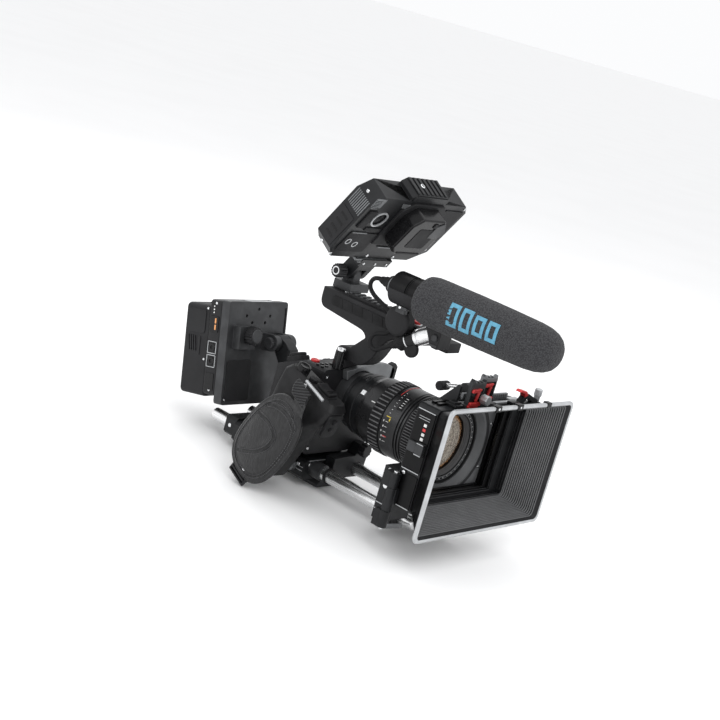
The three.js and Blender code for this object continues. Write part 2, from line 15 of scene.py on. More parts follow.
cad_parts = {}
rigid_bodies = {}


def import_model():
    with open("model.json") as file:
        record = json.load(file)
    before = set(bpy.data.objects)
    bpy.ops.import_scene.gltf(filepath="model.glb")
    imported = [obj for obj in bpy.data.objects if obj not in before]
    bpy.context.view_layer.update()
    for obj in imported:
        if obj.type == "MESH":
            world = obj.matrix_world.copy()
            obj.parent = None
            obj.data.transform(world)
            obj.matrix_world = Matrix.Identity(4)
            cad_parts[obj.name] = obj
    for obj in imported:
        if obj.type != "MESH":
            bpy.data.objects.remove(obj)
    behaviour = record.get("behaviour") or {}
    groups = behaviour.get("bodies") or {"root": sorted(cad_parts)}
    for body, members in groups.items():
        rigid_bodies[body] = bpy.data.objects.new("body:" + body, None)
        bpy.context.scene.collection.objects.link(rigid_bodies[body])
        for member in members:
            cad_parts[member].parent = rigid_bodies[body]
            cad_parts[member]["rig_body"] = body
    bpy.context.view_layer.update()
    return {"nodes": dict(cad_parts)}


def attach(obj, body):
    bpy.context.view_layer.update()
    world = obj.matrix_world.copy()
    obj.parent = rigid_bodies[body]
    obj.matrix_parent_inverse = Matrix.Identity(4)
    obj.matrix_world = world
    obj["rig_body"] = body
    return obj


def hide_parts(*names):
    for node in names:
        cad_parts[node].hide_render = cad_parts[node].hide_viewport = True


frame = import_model()
MM = 0.001

# ---------------------------------------------------------------- driving dimensions, mm

AXIS_Z = 109.0
LENS_R = 42.0
BODY_SIDE, BODY_FRONT, BODY_BACK, BODY_TOP = 57.0, -45.0, 22.0, 141.0
DECK_START, DECK_RUN, DECK_DROP = -14.0, 36.0, 17.0
ROD_X, ROD_Z, ROD_R = 30.0, 23.0, 7.5
MIC_X, MIC_Z = -52.0, 257.0
HOOD_REAR = (167.0, 110.0, -220.3)
HOOD_FRONT = (227.0, 143.0, -255.4)


def tilted(pivot, degrees):
    """The frame of a group that turns about X at its pivot."""
    return Matrix.Translation(Vector(pivot)) @ Matrix.Rotation(math.radians(degrees), 4, "X")


HOME = Matrix.Identity(4)
LENS = Matrix.Translation((0, 0, AXIS_Z))
MONITOR = tilted((4, 2, 240), 32.5)
BATTERY = tilted((0, 96, 119), -12)
GRIP = tilted((-60, -40, 100), 17)
INPUT = tilted((-37.5, -154.5, 223), -33)

# ---------------------------------------------------------------- camera


def make_camera():
    data = bpy.data.cameras.new("camera")
    data.lens = 73.3
    data.sensor_width = 36.0
    data.clip_start = 0.05
    data.clip_end = 200.0
    camera = bpy.data.objects.new("camera", data)
    bpy.context.scene.collection.objects.link(camera)
    right = Vector((0.6314, -0.7290, 0.2644)).normalized()
    back = Vector((-0.7753, -0.5855, 0.2368)).normalized()
    up = back.cross(right).normalized()
    turn = Matrix((right, up, back)).transposed().to_4x4()
    camera.matrix_world = Matrix.Translation((-1.2660, -1.0001, 0.5377)) @ turn
    bpy.context.scene.camera = camera


# ---------------------------------------------------------------- materials


class Nodes:
    """A short way to write one material's node tree."""

    def __init__(self, name, color=(0.02, 0.02, 0.02), rough=0.5, metal=0.0, **sockets):
        self.material = bpy.data.materials.new(name)
        self.material.use_nodes = True
        self.tree = self.material.node_tree
        self.shader = self.tree.nodes["Principled BSDF"]
        self.shader.inputs["Base Color"].default_value = (*color, 1)
        self.shader.inputs["Roughness"].default_value = rough
        self.shader.inputs["Metallic"].default_value = metal
        for socket, value in sockets.items():
            self.shader.inputs[socket.replace("_", " ")].default_value = value
        self.material.diffuse_color = (*color, 1)
        self.place = self.tree.nodes.new("ShaderNodeTexCoord").outputs["Object"]

    def stretched(self, scale, shift=(0, 0, 0)):
        node = self.tree.nodes.new("ShaderNodeMapping")
        node.inputs["Location"].default_value = shift
        node.inputs["Scale"].default_value = scale
        self.tree.links.new(self.place, node.inputs["Vector"])
        return node.outputs["Vector"]

    def noise(self, scale, detail=3.0, vector=None, distortion=0.0):
        node = self.tree.nodes.new("ShaderNodeTexNoise")
        node.inputs["Scale"].default_value = scale
        node.inputs["Detail"].default_value = detail
        node.inputs["Distortion"].default_value = distortion
        self.tree.links.new(vector or self.place, node.inputs["Vector"])
        return node.outputs["Fac"]

    def cells(self, scale, feature="F1", vector=None):
        node = self.tree.nodes.new("ShaderNodeTexVoronoi")
        node.feature = feature
        node.inputs["Scale"].default_value = scale
        self.tree.links.new(vector or self.place, node.inputs["Vector"])
        return node.outputs["Distance"]

    def waves(self, scale, direction="X", distortion=0.0, vector=None):
        node = self.tree.nodes.new("ShaderNodeTexWave")
        node.bands_direction = direction
        node.inputs["Scale"].default_value = scale
        node.inputs["Distortion"].default_value = distortion
        self.tree.links.new(vector or self.place, node.inputs["Vector"])
        return node.outputs["Fac"]

    def ramp(self, value, low, high, stops=(0.35, 0.65)):
        node = self.tree.nodes.new("ShaderNodeValToRGB")
        node.color_ramp.elements[0].position = stops[0]
        node.color_ramp.elements[1].position = stops[1]
        node.color_ramp.elements[0].color = (*low, 1)
        node.color_ramp.elements[1].color = (*high, 1)
        self.tree.links.new(value, node.inputs["Fac"])
        return node.outputs["Color"]

    def range(self, value, low, high, start=0.3, end=0.7):
        node = self.tree.nodes.new("ShaderNodeMapRange")
        node.inputs["From Min"].default_value = start
        node.inputs["From Max"].default_value = end
        node.inputs["To Min"].default_value = low
        node.inputs["To Max"].default_value = high
        self.tree.links.new(value, node.inputs["Value"])
        return node.outputs["Result"]

    def multiply(self, factor, first, second):
        """Two colours multiplied, by a fixed part."""
        node = self.tree.nodes.new("ShaderNodeMix")
        node.data_type = "RGBA"
        node.blend_type = "MULTIPLY"
        node.inputs[0].default_value = factor
        self.tree.links.new(first, node.inputs[6])
        self.tree.links.new(second, node.inputs[7])
        return node.outputs[2]

    def bump(self, height, depth_mm, strength=1.0, after=None):
        node = self.tree.nodes.new("ShaderNodeBump")
        node.inputs["Distance"].default_value = depth_mm * MM
        node.inputs["Strength"].default_value = strength
        self.tree.links.new(height, node.inputs["Height"])
        if after is not None:
            self.tree.links.new(after, node.inputs["Normal"])
        self.tree.links.new(node.outputs["Normal"], self.shader.inputs["Normal"])
        return node.outputs["Normal"]

    def drive(self, socket, value):
        self.tree.links.new(value, self.shader.inputs[socket])


def anodised(name, color, rough, metal, lift=1.5, specular=0.3):
    """Machined and anodised aluminium: a fine blasted grain, soft smudges and a few pale rubs."""
    m = Nodes(name, color, rough, metal, Specular_IOR_Level=specular)
    lighter = tuple(min(1.0, c * lift) for c in color)
    m.drive("Base Color", m.ramp(m.noise(60, 5), color, lighter, (0.45, 0.75)))
    m.drive("Roughness", m.range(m.noise(35, 4), rough - 0.06, rough + 0.1))
    m.bump(m.noise(4200, 2), 0.02, 0.5)
    return m.material


def moulded(name, color, rough, depth=0.05, scale=1700):
    """Black moulded plastic with a fine spark-eroded texture."""
    m = Nodes(name, color, rough, Specular_IOR_Level=0.24)
    m.drive("Base Color", m.ramp(m.noise(40, 4), color, tuple(c * 1.5 for c in color), (0.4, 0.8)))
    m.drive("Roughness", m.range(m.noise(28, 4), rough - 0.06, rough + 0.1))
    m.bump(m.cells(scale), depth, 0.6)
    return m.material


def rubbery(name, color, rough):
    m = Nodes(name, color, rough, Specular_IOR_Level=0.2)
    m.drive("Base Color", m.ramp(m.noise(90, 5), color, tuple(c * 1.8 for c in color)))
    fine = m.bump(m.noise(2600, 3), 0.05, 0.7)
    m.bump(m.noise(240, 3), 0.08, 0.4, fine)
    return m.material


def brushed(name, color, rough, scale):
    """Metal brushed along the direction in which the noise is stretched."""
    m = Nodes(name, color, rough, 1.0)
    lines = m.noise(1.0, 4, m.stretched(scale))
    m.drive("Base Color", m.ramp(lines, tuple(c * 0.72 for c in color), color, (0.3, 0.6)))
    m.drive("Roughness", m.range(lines, rough - 0.08, rough + 0.1))
    m.bump(lines, 0.012, 0.6)
    return m.material


def leathery():
    m = Nodes("leather", (0.004, 0.004, 0.0045), 0.36, 0.0, Coat_Weight=0.22, Coat_Roughness=0.16,
              Specular_IOR_Level=0.3)
    creases = m.noise(150, 7, m.stretched((1.0, 2.4, 0.8)), 0.9)
    # The colour follows the crease height and is darker in the low folds: painted shade in the creases.
    m.drive("Base Color", m.ramp(creases, (0.003, 0.003, 0.0035), (0.012, 0.012, 0.013)))
    m.drive("Roughness", m.range(m.noise(70, 5), 0.26, 0.5))
    folds = m.bump(creases, 0.9, 1.0)
    m.bump(m.cells(1100, "DISTANCE_TO_EDGE"), 0.07, 0.6, folds)
    return m.material


def ribbed_webbing():
    m = Nodes("webbing", (0.012, 0.012, 0.013), 0.85, 0.0, Sheen_Weight=0.15, Specular_IOR_Level=0.3)
    ribs = m.waves(160, "Z", 0.4)
    # The colour follows the rib height and is darker in the grooves: painted shade between the ribs.
    m.drive("Base Color", m.ramp(ribs, (0.003, 0.003, 0.0035), (0.024, 0.024, 0.026)))
    across = m.bump(ribs, 0.5, 0.9)
    m.bump(m.waves(420, "Y", 0.8), 0.15, 0.7, across)
    return m.material


def foamy():
    """Open-cell foam: dark pores between lighter rims, the darkness painted shade in the low spots of the
    bump.
    """
    m = Nodes("foam", (0.016, 0.016, 0.017), 1.0, 0.0, Sheen_Weight=0.06, Specular_IOR_Level=0.15)
    pores = m.cells(620)
    # The colour darkens where the bump sinks: painted shade in the pores.
    m.drive("Base Color", m.ramp(pores, (0.060, 0.061, 0.064), (0.030, 0.030, 0.032), (0.15, 0.75)))
    coarse = m.bump(m.noise(260, 4), 0.5, 0.6)
    m.bump(m.range(pores, 1.0, 0.0, 0.1, 0.8), 0.6, 1.0, coarse)
    return m.material


def coated_glass():
    """The front element: warm coating reflections painted into the colour, deepest at the rim, over a
    painted pale reflection in the middle, with painted glints.
    """
    m = Nodes("coated_glass", (0.5, 0.3, 0.1), 0.06, 0.45, Coat_Weight=1.0, Coat_Roughness=0.02)
    length = m.tree.nodes.new("ShaderNodeVectorMath")
    length.operation = "LENGTH"
    m.tree.links.new(m.stretched((1, 0, 1), (0, 0, -AXIS_Z * MM)), length.inputs[0])
    # The radial ramp, pale in the middle and deep orange at the rim: painted reflections of the coatings.
    rim = m.ramp(length.outputs["Value"], (0.80, 0.74, 0.66), (0.85, 0.36, 0.06), (0.027, 0.0325))
    # Scattered white flecks: painted glints.
    painted_glints = m.ramp(m.noise(420, 6, None, 1.5), (0.16, 0.11, 0.07), (1.0, 0.96, 0.90), (0.42, 0.58))
    m.drive("Base Color", m.multiply(0.75, rim, painted_glints))
    m.bump(m.noise(150, 3), 0.25, 0.35)
    m.drive("Roughness", m.range(m.noise(300, 2), 0.03, 0.12))
    return m.material


def painted(name, color, rough=0.45):
    """Filled paint in an engraved mark."""
    m = Nodes(name, color, rough)
    m.drive("Base Color", m.ramp(m.noise(300, 3), tuple(c * 0.8 for c in color), color))
    m.bump(m.noise(1500, 2), 0.02, 0.5)
    return m.material


def stitched(name, color):
    m = Nodes(name, color, 0.7, 0.0, Sheen_Weight=0.2)
    m.drive("Base Color", m.ramp(m.noise(900, 3), tuple(c * 0.6 for c in color), color))
    m.bump(m.waves(1600, "DIAGONAL"), 0.06, 0.8)
    return m.material


def display():
    m = Nodes("display", (0.012, 0.014, 0.018), 0.12, 0.0, Coat_Weight=0.6, Coat_Roughness=0.05)
    m.drive("Base Color", m.ramp(m.noise(12, 3), (0.008, 0.010, 0.014), (0.018, 0.021, 0.028)))
    m.drive("Roughness", m.range(m.noise(40, 5), 0.08, 0.2))
    m.bump(m.noise(700, 2), 0.004, 0.3)
    return m.material


def sensor_glass():
    m = Nodes("sensor_glass", (0.02, 0.05, 0.045), 0.1, 0.3, Coat_Weight=1.0)
    m.drive("Base Color", m.ramp(m.noise(200, 2), (0.012, 0.03, 0.03), (0.03, 0.08, 0.06)))
    m.bump(m.noise(2000, 1), 0.003, 0.3)
    return m.material


MAT = {
    "black_metal": anodised("black_anodised", (0.0095, 0.010, 0.011), 0.40, 0.2),
    "dark_metal": anodised("dark_anodised", (0.040, 0.041, 0.043), 0.38, 0.4),
    "satin_black": anodised("satin_black", (0.003, 0.003, 0.0033), 0.3, 0.0, 1.25, 0.16),
    "black_plastic": moulded("black_moulded", (0.010, 0.010, 0.011), 0.46),
    "soft_black": moulded("soft_black", (0.0125, 0.0125, 0.0135), 0.6, 0.07, 1100),
    "gloss_black": moulded("gloss_black", (0.006, 0.006, 0.0065), 0.2, 0.01, 900),
    "black_rubber": rubbery("black_rubber", (0.008, 0.008, 0.0085), 0.7),
    "grip_rubber": rubbery("grip_rubber", (0.009, 0.009, 0.0095), 0.5),
    # A pale grey for the hood's rib crests and rear edge line: the paleness is a painted highlight where
    # they catch the light.
    "painted_rib_highlight": anodised("painted_rib_highlight", (0.125, 0.127, 0.13), 0.5, 0.15, 1.15),
    "plate_grey": anodised("plate_grey", (0.085, 0.087, 0.09), 0.45, 0.2, 1.2),
    "lens_black": anodised("lens_black", (0.020, 0.020, 0.021), 0.27, 0.35, 1.4, 0.5),
    # A pale rubber for the lens rings' rib crests: the paleness is a painted highlight on the crests.
    "painted_glint_rubber": rubbery("painted_glint_rubber", (0.075, 0.075, 0.077), 0.5),
    "grey_metal": anodised("grey_satin", (0.15, 0.155, 0.16), 0.38, 0.6, 1.3),
    "light_metal": anodised("light_satin", (0.42, 0.43, 0.44), 0.36, 0.6, 1.25, 0.5),
    "steel": brushed("brushed_steel", (0.90, 0.905, 0.91), 0.28, (2200, 30, 2200)),
    "screw_steel": brushed("screw_steel", (0.78, 0.79, 0.80), 0.22, (1500, 1500, 60)),
    "copper": brushed("copper", (0.75, 0.36, 0.16), 0.3, (1200, 1200, 60)),
    "red_metal": anodised("red_anodised", (0.50, 0.03, 0.03), 0.34, 0.35, 1.3, 0.5),
    "leather": leathery(),
    "webbing": ribbed_webbing(),
    "foam": foamy(),
    "glass": coated_glass(),
    "display": display(),
    "sensor": sensor_glass(),
    "blue_mark": painted("blue_mark", (0.11, 0.33, 0.47), 0.85),
    "white_mark": painted("white_mark", (0.75, 0.75, 0.74)),
    "yellow_mark": painted("yellow_mark", (0.75, 0.55, 0.04)),
    "red_mark": painted("red_mark", (0.55, 0.03, 0.03)),
    "thread": stitched("thread", (0.05, 0.05, 0.053)),
}

# ---------------------------------------------------------------- shapes, each a new bmesh in mm


def soften(bm, width, segments=2, angle=32):
    """Rounds the edges that turn by more than the angle."""
    if width <= 0:
        return bm
    sharp = [e for e in bm.edges if len(e.link_faces) == 2 and e.calc_face_angle(0) > math.radians(angle)]
    bmesh.ops.bevel(bm, geom=sharp, offset=width, segments=segments, profile=0.5, affect="EDGES",
                    clamp_overlap=True)
    return bm


def block(x, y, z, edge=0.5):
    bm = bmesh.new()
    bmesh.ops.create_cube(bm, size=1)
    size = Matrix.Diagonal((x[1] - x[0], y[1] - y[0], z[1] - z[0], 1))
    middle = Matrix.Translation(((x[0] + x[1]) / 2, (y[0] + y[1]) / 2, (z[0] + z[1]) / 2))
    bm.transform(middle @ size)
    return soften(bm, edge)


AXES = {
    "X": Matrix(((0, 0, 1, 0), (1, 0, 0, 0), (0, 1, 0, 0), (0, 0, 0, 1))),
    "Y": Matrix(((1, 0, 0, 0), (0, 0, 1, 0), (0, -1, 0, 0), (0, 0, 0, 1))),
    "Z": Matrix.Identity(4),
}


def turned(profile, axis="Y", centre=(0, 0, 0), sides=64, closed=False):
    """Turns (radius, distance along the axis) points round an axis. A closed profile makes a ring."""
    bm = bmesh.new()
    rings = []
    for radius, along in profile:
        if radius < 1e-6:
            rings.append([bm.verts.new((0, 0, along))])
            continue
        rings.append([
            bm.verts.new((radius * math.cos(a), radius * math.sin(a), along))
            for a in (2 * math.pi * i / sides for i in range(sides))
        ])
    pairs = list(zip(rings, rings[1:]))
    if closed:
        pairs.append((rings[-1], rings[0]))
    for low, high in pairs:
        for i in range(sides):
            j = (i + 1) % sides
            corners = [low[i % len(low)], low[j % len(low)], high[j % len(high)], high[i % len(high)]]
            unique = list(dict.fromkeys(corners))
            if len(unique) > 2:
                bm.faces.new(unique)
    bmesh.ops.recalc_face_normals(bm, faces=bm.faces)
    bm.transform(Matrix.Translation(Vector(centre)) @ AXES[axis])
    return bm


def pin(radius, span, axis="Y", centre=(0, 0, 0), edge=0.5, sides=40):
    """A short round bar with rounded rims, from span[0] to span[1] along its axis."""
    low, high = span
    e = min(edge, radius * 0.45, (high - low) * 0.45)
    profile = [(0, low), (radius - e, low), (radius - 0.3 * e, low + 0.3 * e), (radius, low + e),
               (radius, high - e), (radius - 0.3 * e, high - 0.3 * e), (radius - e, high), (0, high)]
    return turned(profile, axis, centre, sides)


def knurled(radius, span, axis="Y", centre=(0, 0, 0), teeth=24, depth=0.8, round_teeth=False):
    """A knob whose rim is cut with straight teeth."""
    low, high = span
    bm = bmesh.new()
    steps = teeth * 4
    rings = []
    for along, trim in ((low, 0.8), (low + 0.6, 0.0), (high - 0.6, 0.0), (high, 0.8)):
        ring = []
        for i in range(steps):
            a = 2 * math.pi * i / steps
            wave = 0.5 - 0.5 * math.cos(a * teeth) if round_teeth else float(i % 4 in (0, 1))
            r = radius - trim - depth * wave
            ring.append(bm.verts.new((r * math.cos(a), r * math.sin(a), along)))
        rings.append(ring)
    for lower, upper in zip(rings, rings[1:]):
        for i in range(steps):
            j = (i + 1) % steps
            bm.faces.new((lower[i], lower[j], upper[j], upper[i]))
    bm.faces.new(list(reversed(rings[0])))
    bm.faces.new(rings[-1])
    bmesh.ops.recalc_face_normals(bm, faces=bm.faces)
    bm.transform(Matrix.Translation(Vector(centre)) @ AXES[axis])
    return bm


def ribbed_ring(inner, outer, span, ribs, depth, fill=0.5):
    """A lens ring with ribs along the lens, centred on the lens axis."""
    low, high = span
    bm = bmesh.new()
    steps = ribs * 4
    rows = []
    stations = ((low, 1.0), (low + 1.2, 1.0), (low + 1.7, 0.0), (high - 1.7, 0.0), (high - 1.2, 1.0),
                (high, 1.0))
    for along, flat in stations:
        row = []
        for i in range(steps):
            a = 2 * math.pi * (i + (0.5 - fill) * (i % 4 == 1)) / steps
            top = i % 4 in (1, 2)
            r = outer - depth * 0.35 if flat else (outer if top else outer - depth)
            row.append(bm.verts.new((r * math.cos(a), r * math.sin(a), along)))
        rows.append(row)
    for along in (high, low):
        rows.append([
            bm.verts.new((inner * math.cos(2 * math.pi * i / steps),
                          inner * math.sin(2 * math.pi * i / steps), along))
            for i in range(steps)
        ])
    for lower, upper in zip(rows, rows[1:] + rows[:1]):
        for i in range(steps):
            j = (i + 1) % steps
            bm.faces.new((lower[i], lower[j], upper[j], upper[i]))
    bmesh.ops.recalc_face_normals(bm, faces=bm.faces)
    bm.transform(AXES["Y"])
    return bm


def prism(outline, span, axis="Y", edge=0.5):
    """A plate: an outline in X and Z (axis Y), in Y and Z (axis X) or in X and Y (axis Z)."""
    bm = bmesh.new()
    spots = {"X": lambda a, b, t: (t, a, b), "Y": lambda a, b, t: (a, t, b), "Z": lambda a, b, t: (a, b, t)}
    low = [bm.verts.new(spots[axis](a, b, span[0])) for a, b in outline]
    high = [bm.verts.new(spots[axis](a, b, span[1])) for a, b in outline]
    bm.faces.new(low)
    bm.faces.new(list(reversed(high)))
    for i in range(len(outline)):
        j = (i + 1) % len(outline)
        bm.faces.new((low[i], high[i], high[j], low[j]))
    bmesh.ops.recalc_face_normals(bm, faces=bm.faces)
    return soften(bm, edge)


def rounded(x, z, radius, steps=4):
    """The outline of a rectangle with round corners."""
    points = []
    corners = ((x[1], z[1], 0), (x[0], z[1], 90), (x[0], z[0], 180), (x[1], z[0], 270))
    for cx, cz, start in corners:
        ox = cx - math.copysign(radius, cx - (x[0] + x[1]) / 2)
        oz = cz - math.copysign(radius, cz - (z[0] + z[1]) / 2)
        for k in range(steps + 1):
            a = math.radians(start + 90 * k / steps)
            points.append((ox + radius * math.cos(a), oz + radius * math.sin(a)))
    return points


def skin(loops, closed=False, caps=True):
    """A surface through equal loops of points."""
    bm = bmesh.new()
    rows = [[bm.verts.new(p) for p in loop] for loop in loops]
    pairs = list(zip(rows, rows[1:]))
    if closed:
        pairs.append((rows[-1], rows[0]))
    count = len(loops[0])
    for low, high in pairs:
        for i in range(count):
            j = (i + 1) % count
            bm.faces.new((low[i], low[j], high[j], high[i]))
    if caps and not closed:
        bm.faces.new(list(reversed(rows[0])))
        bm.faces.new(rows[-1])
    bmesh.ops.recalc_face_normals(bm, faces=bm.faces)
    return bm


def tube(points, radius, sides=16, ends=True):
    """A round bar along points, with a frame carried smoothly from each point to the next."""
    path = [Vector(p) for p in points]
    loops = []
    side = None
    for i, point in enumerate(path):
        ahead = (path[min(i + 1, len(path) - 1)] - path[max(i - 1, 0)]).normalized()
        if side is None:
            side = ahead.orthogonal().normalized()
        side = (side - ahead * side.dot(ahead)).normalized()
        over = ahead.cross(side)
        loops.append([
            point + (side * math.cos(a) + over * math.sin(a)) * radius
            for a in (2 * math.pi * k / sides for k in range(sides))
        ])
    return skin(loops, caps=ends)


def smooth_path(points, per_span=8):
    """A Catmull-Rom curve through the points."""
    pts = [Vector(p) for p in points]
    pts = [2 * pts[0] - pts[1]] + pts + [2 * pts[-1] - pts[-2]]
    out = []
    for i in range(1, len(pts) - 2):
        a, b, c, d = pts[i - 1:i + 3]
        for k in range(per_span):
            t = k / per_span
            out.append(0.5 * (2 * b + (c - a) * t + (2 * a - 5 * b + 4 * c - d) * t * t
                              + (3 * b - a - 3 * c + d) * t ** 3))
    out.append(pts[-2])
    return out


def moved(bm, matrix):
    bm.transform(matrix)
    return bm


def screw(point, direction, radius=2.0, height=1.2, socket=True):
    """A socket-head screw whose head stands on a point."""
    up = Vector(direction).normalized()
    turn = up.to_track_quat("Z", "Y").to_matrix().to_4x4()
    e = radius * 0.2
    profile = [(radius, 0), (radius, height - e), (radius - e, height)]
    if socket:
        profile += [(radius * 0.55, height), (radius * 0.5, height * 0.35), (0, height * 0.35)]
    else:
        profile += [(0, height + 0.1)]
    return turned([(0, -0.2), (radius, -0.2)] + profile, "Z",
                  sides=24), Matrix.Translation(Vector(point)) @ turn


# ---------------------------------------------------------------- pieces


def piece(name, body, finish, shapes, place=HOME, stands_for=(), angle=32):
    """Joins shapes into one object that rides on a body. A shape is a bmesh, or a bmesh and its matrix."""
    mesh = bpy.data.meshes.new(name)
    whole = bmesh.new()
    for shape in shapes:
        bm, own = shape if isinstance(shape, tuple) else (shape, HOME)
        bm.transform(Matrix.Scale(MM, 4) @ place @ own)
        part = bpy.data.meshes.new("part")
        bm.to_mesh(part)
        bm.free()
        whole.from_mesh(part)
        bpy.data.meshes.remove(part)
    bmesh.ops.recalc_face_normals(whole, faces=whole.faces)
    whole.to_mesh(mesh)
    whole.free()
    mesh.shade_smooth()
    mesh.set_sharp_from_angle(angle=math.radians(angle))
    mesh.materials.append(MAT[finish])
    obj = bpy.data.objects.new(name, mesh)
    bpy.context.scene.collection.objects.link(obj)
    normals = obj.modifiers.new("flat_faces_first", "WEIGHTED_NORMAL")
    normals.keep_sharp = True
    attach(obj, body)
    if stands_for:
        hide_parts(*stands_for)
    return obj


def from_cad(node, finish, edge=0.6, angle=32, segments=2):
    """A CAD node's shape with rounded edges, shown in the node's place."""
    source = frame["nodes"][node]
    bm = bmesh.new()
    bm.from_mesh(source.data)
    bm.transform(Matrix.Scale(1 / MM, 4))
    bmesh.ops.remove_doubles(bm, verts=bm.verts, dist=0.002)
    bmesh.ops.dissolve_limit(bm, angle_limit=math.radians(1.0), verts=bm.verts, edges=bm.edges)
    soften(bm, edge, segments, angle)
    return piece(node + "_shell", source["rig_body"], finish, [bm], stands_for=[node], angle=angle)


# ---------------------------------------------------------------- base and rods


def make_base():
    from_cad("tripod_plate", "dark_metal", 0.7)
    from_cad("base_plate", "black_metal", 1.0)
    from_cad("front_clamp", "black_metal", 0.9)
    for node, x in (("rod_left", ROD_X), ("rod_right", -ROD_X)):
        bar = turned([(0, -196), (6.4, -196), (ROD_R, -194.8), (ROD_R, 116.8), (6.4, 118), (0, 118)], "Y",
                     (x, 0, ROD_Z), 72)
        piece(node + "_shell", "rig", "steel", [bar], stands_for=[node])
    collar = turned([(7.7, -62), (9.6, -61), (9.6, -50), (8.9, -49.5), (8.9, -45.2), (7.7, -45.2)], "Y",
                    (-ROD_X, 0, ROD_Z), 48, closed=True)
    ring = turned([(7.7, -70), (9.0, -70), (9.0, -67), (7.7, -67)], "Y", (-ROD_X, 0, ROD_Z), 48,
                  closed=True)
    piece("rod_collar", "rig", "dark_metal", [collar])
    piece("rod_ring", "rig", "black_rubber", [ring])
    piece("front_clamp_knob_shell", "front_clamp_knob", "black_plastic",
          [knurled(8, (-68, -59.3), "Y", (29, 0, 48), 10, 1.1, True)], stands_for=["front_clamp_knob"])
    from_cad("base_clamp_lever", "grey_metal", 0.5)
    screws = []
    for y in (-36, -8, 20, 52):
        screws.append(screw((-47, y, 26), (-1, 0, 0), 2.3, 1.0))
    for x in (-38, 38):
        screws.append(screw((x, -45, 27), (0, -1, 0), 2.0, 0.9))
        screws.append(screw((x, 70, 16), (0, 1, 0), 2.0, 0.9))
    for x, y in ((-38, -20), (-38, 40), (38, -20), (38, 40)):
        screws.append(screw((x, y, 33), (0, 0, 1), 2.2, 1.0))
    piece("base_screws", "rig", "screw_steel", screws)
    trims = [block((-47.5, -46.8), (-44, 30), (19.4, 20.2), 0.1),
             block((-47.5, -46.8), (-44, 30), (23.6, 24.3), 0.1)]
    trims.append(block((-40, 40), (-45.5, -44.8), (31.3, 32.2), 0.1))
    piece("base_edges", "rig", "light_metal", trims)


# ---------------------------------------------------------------- camera body


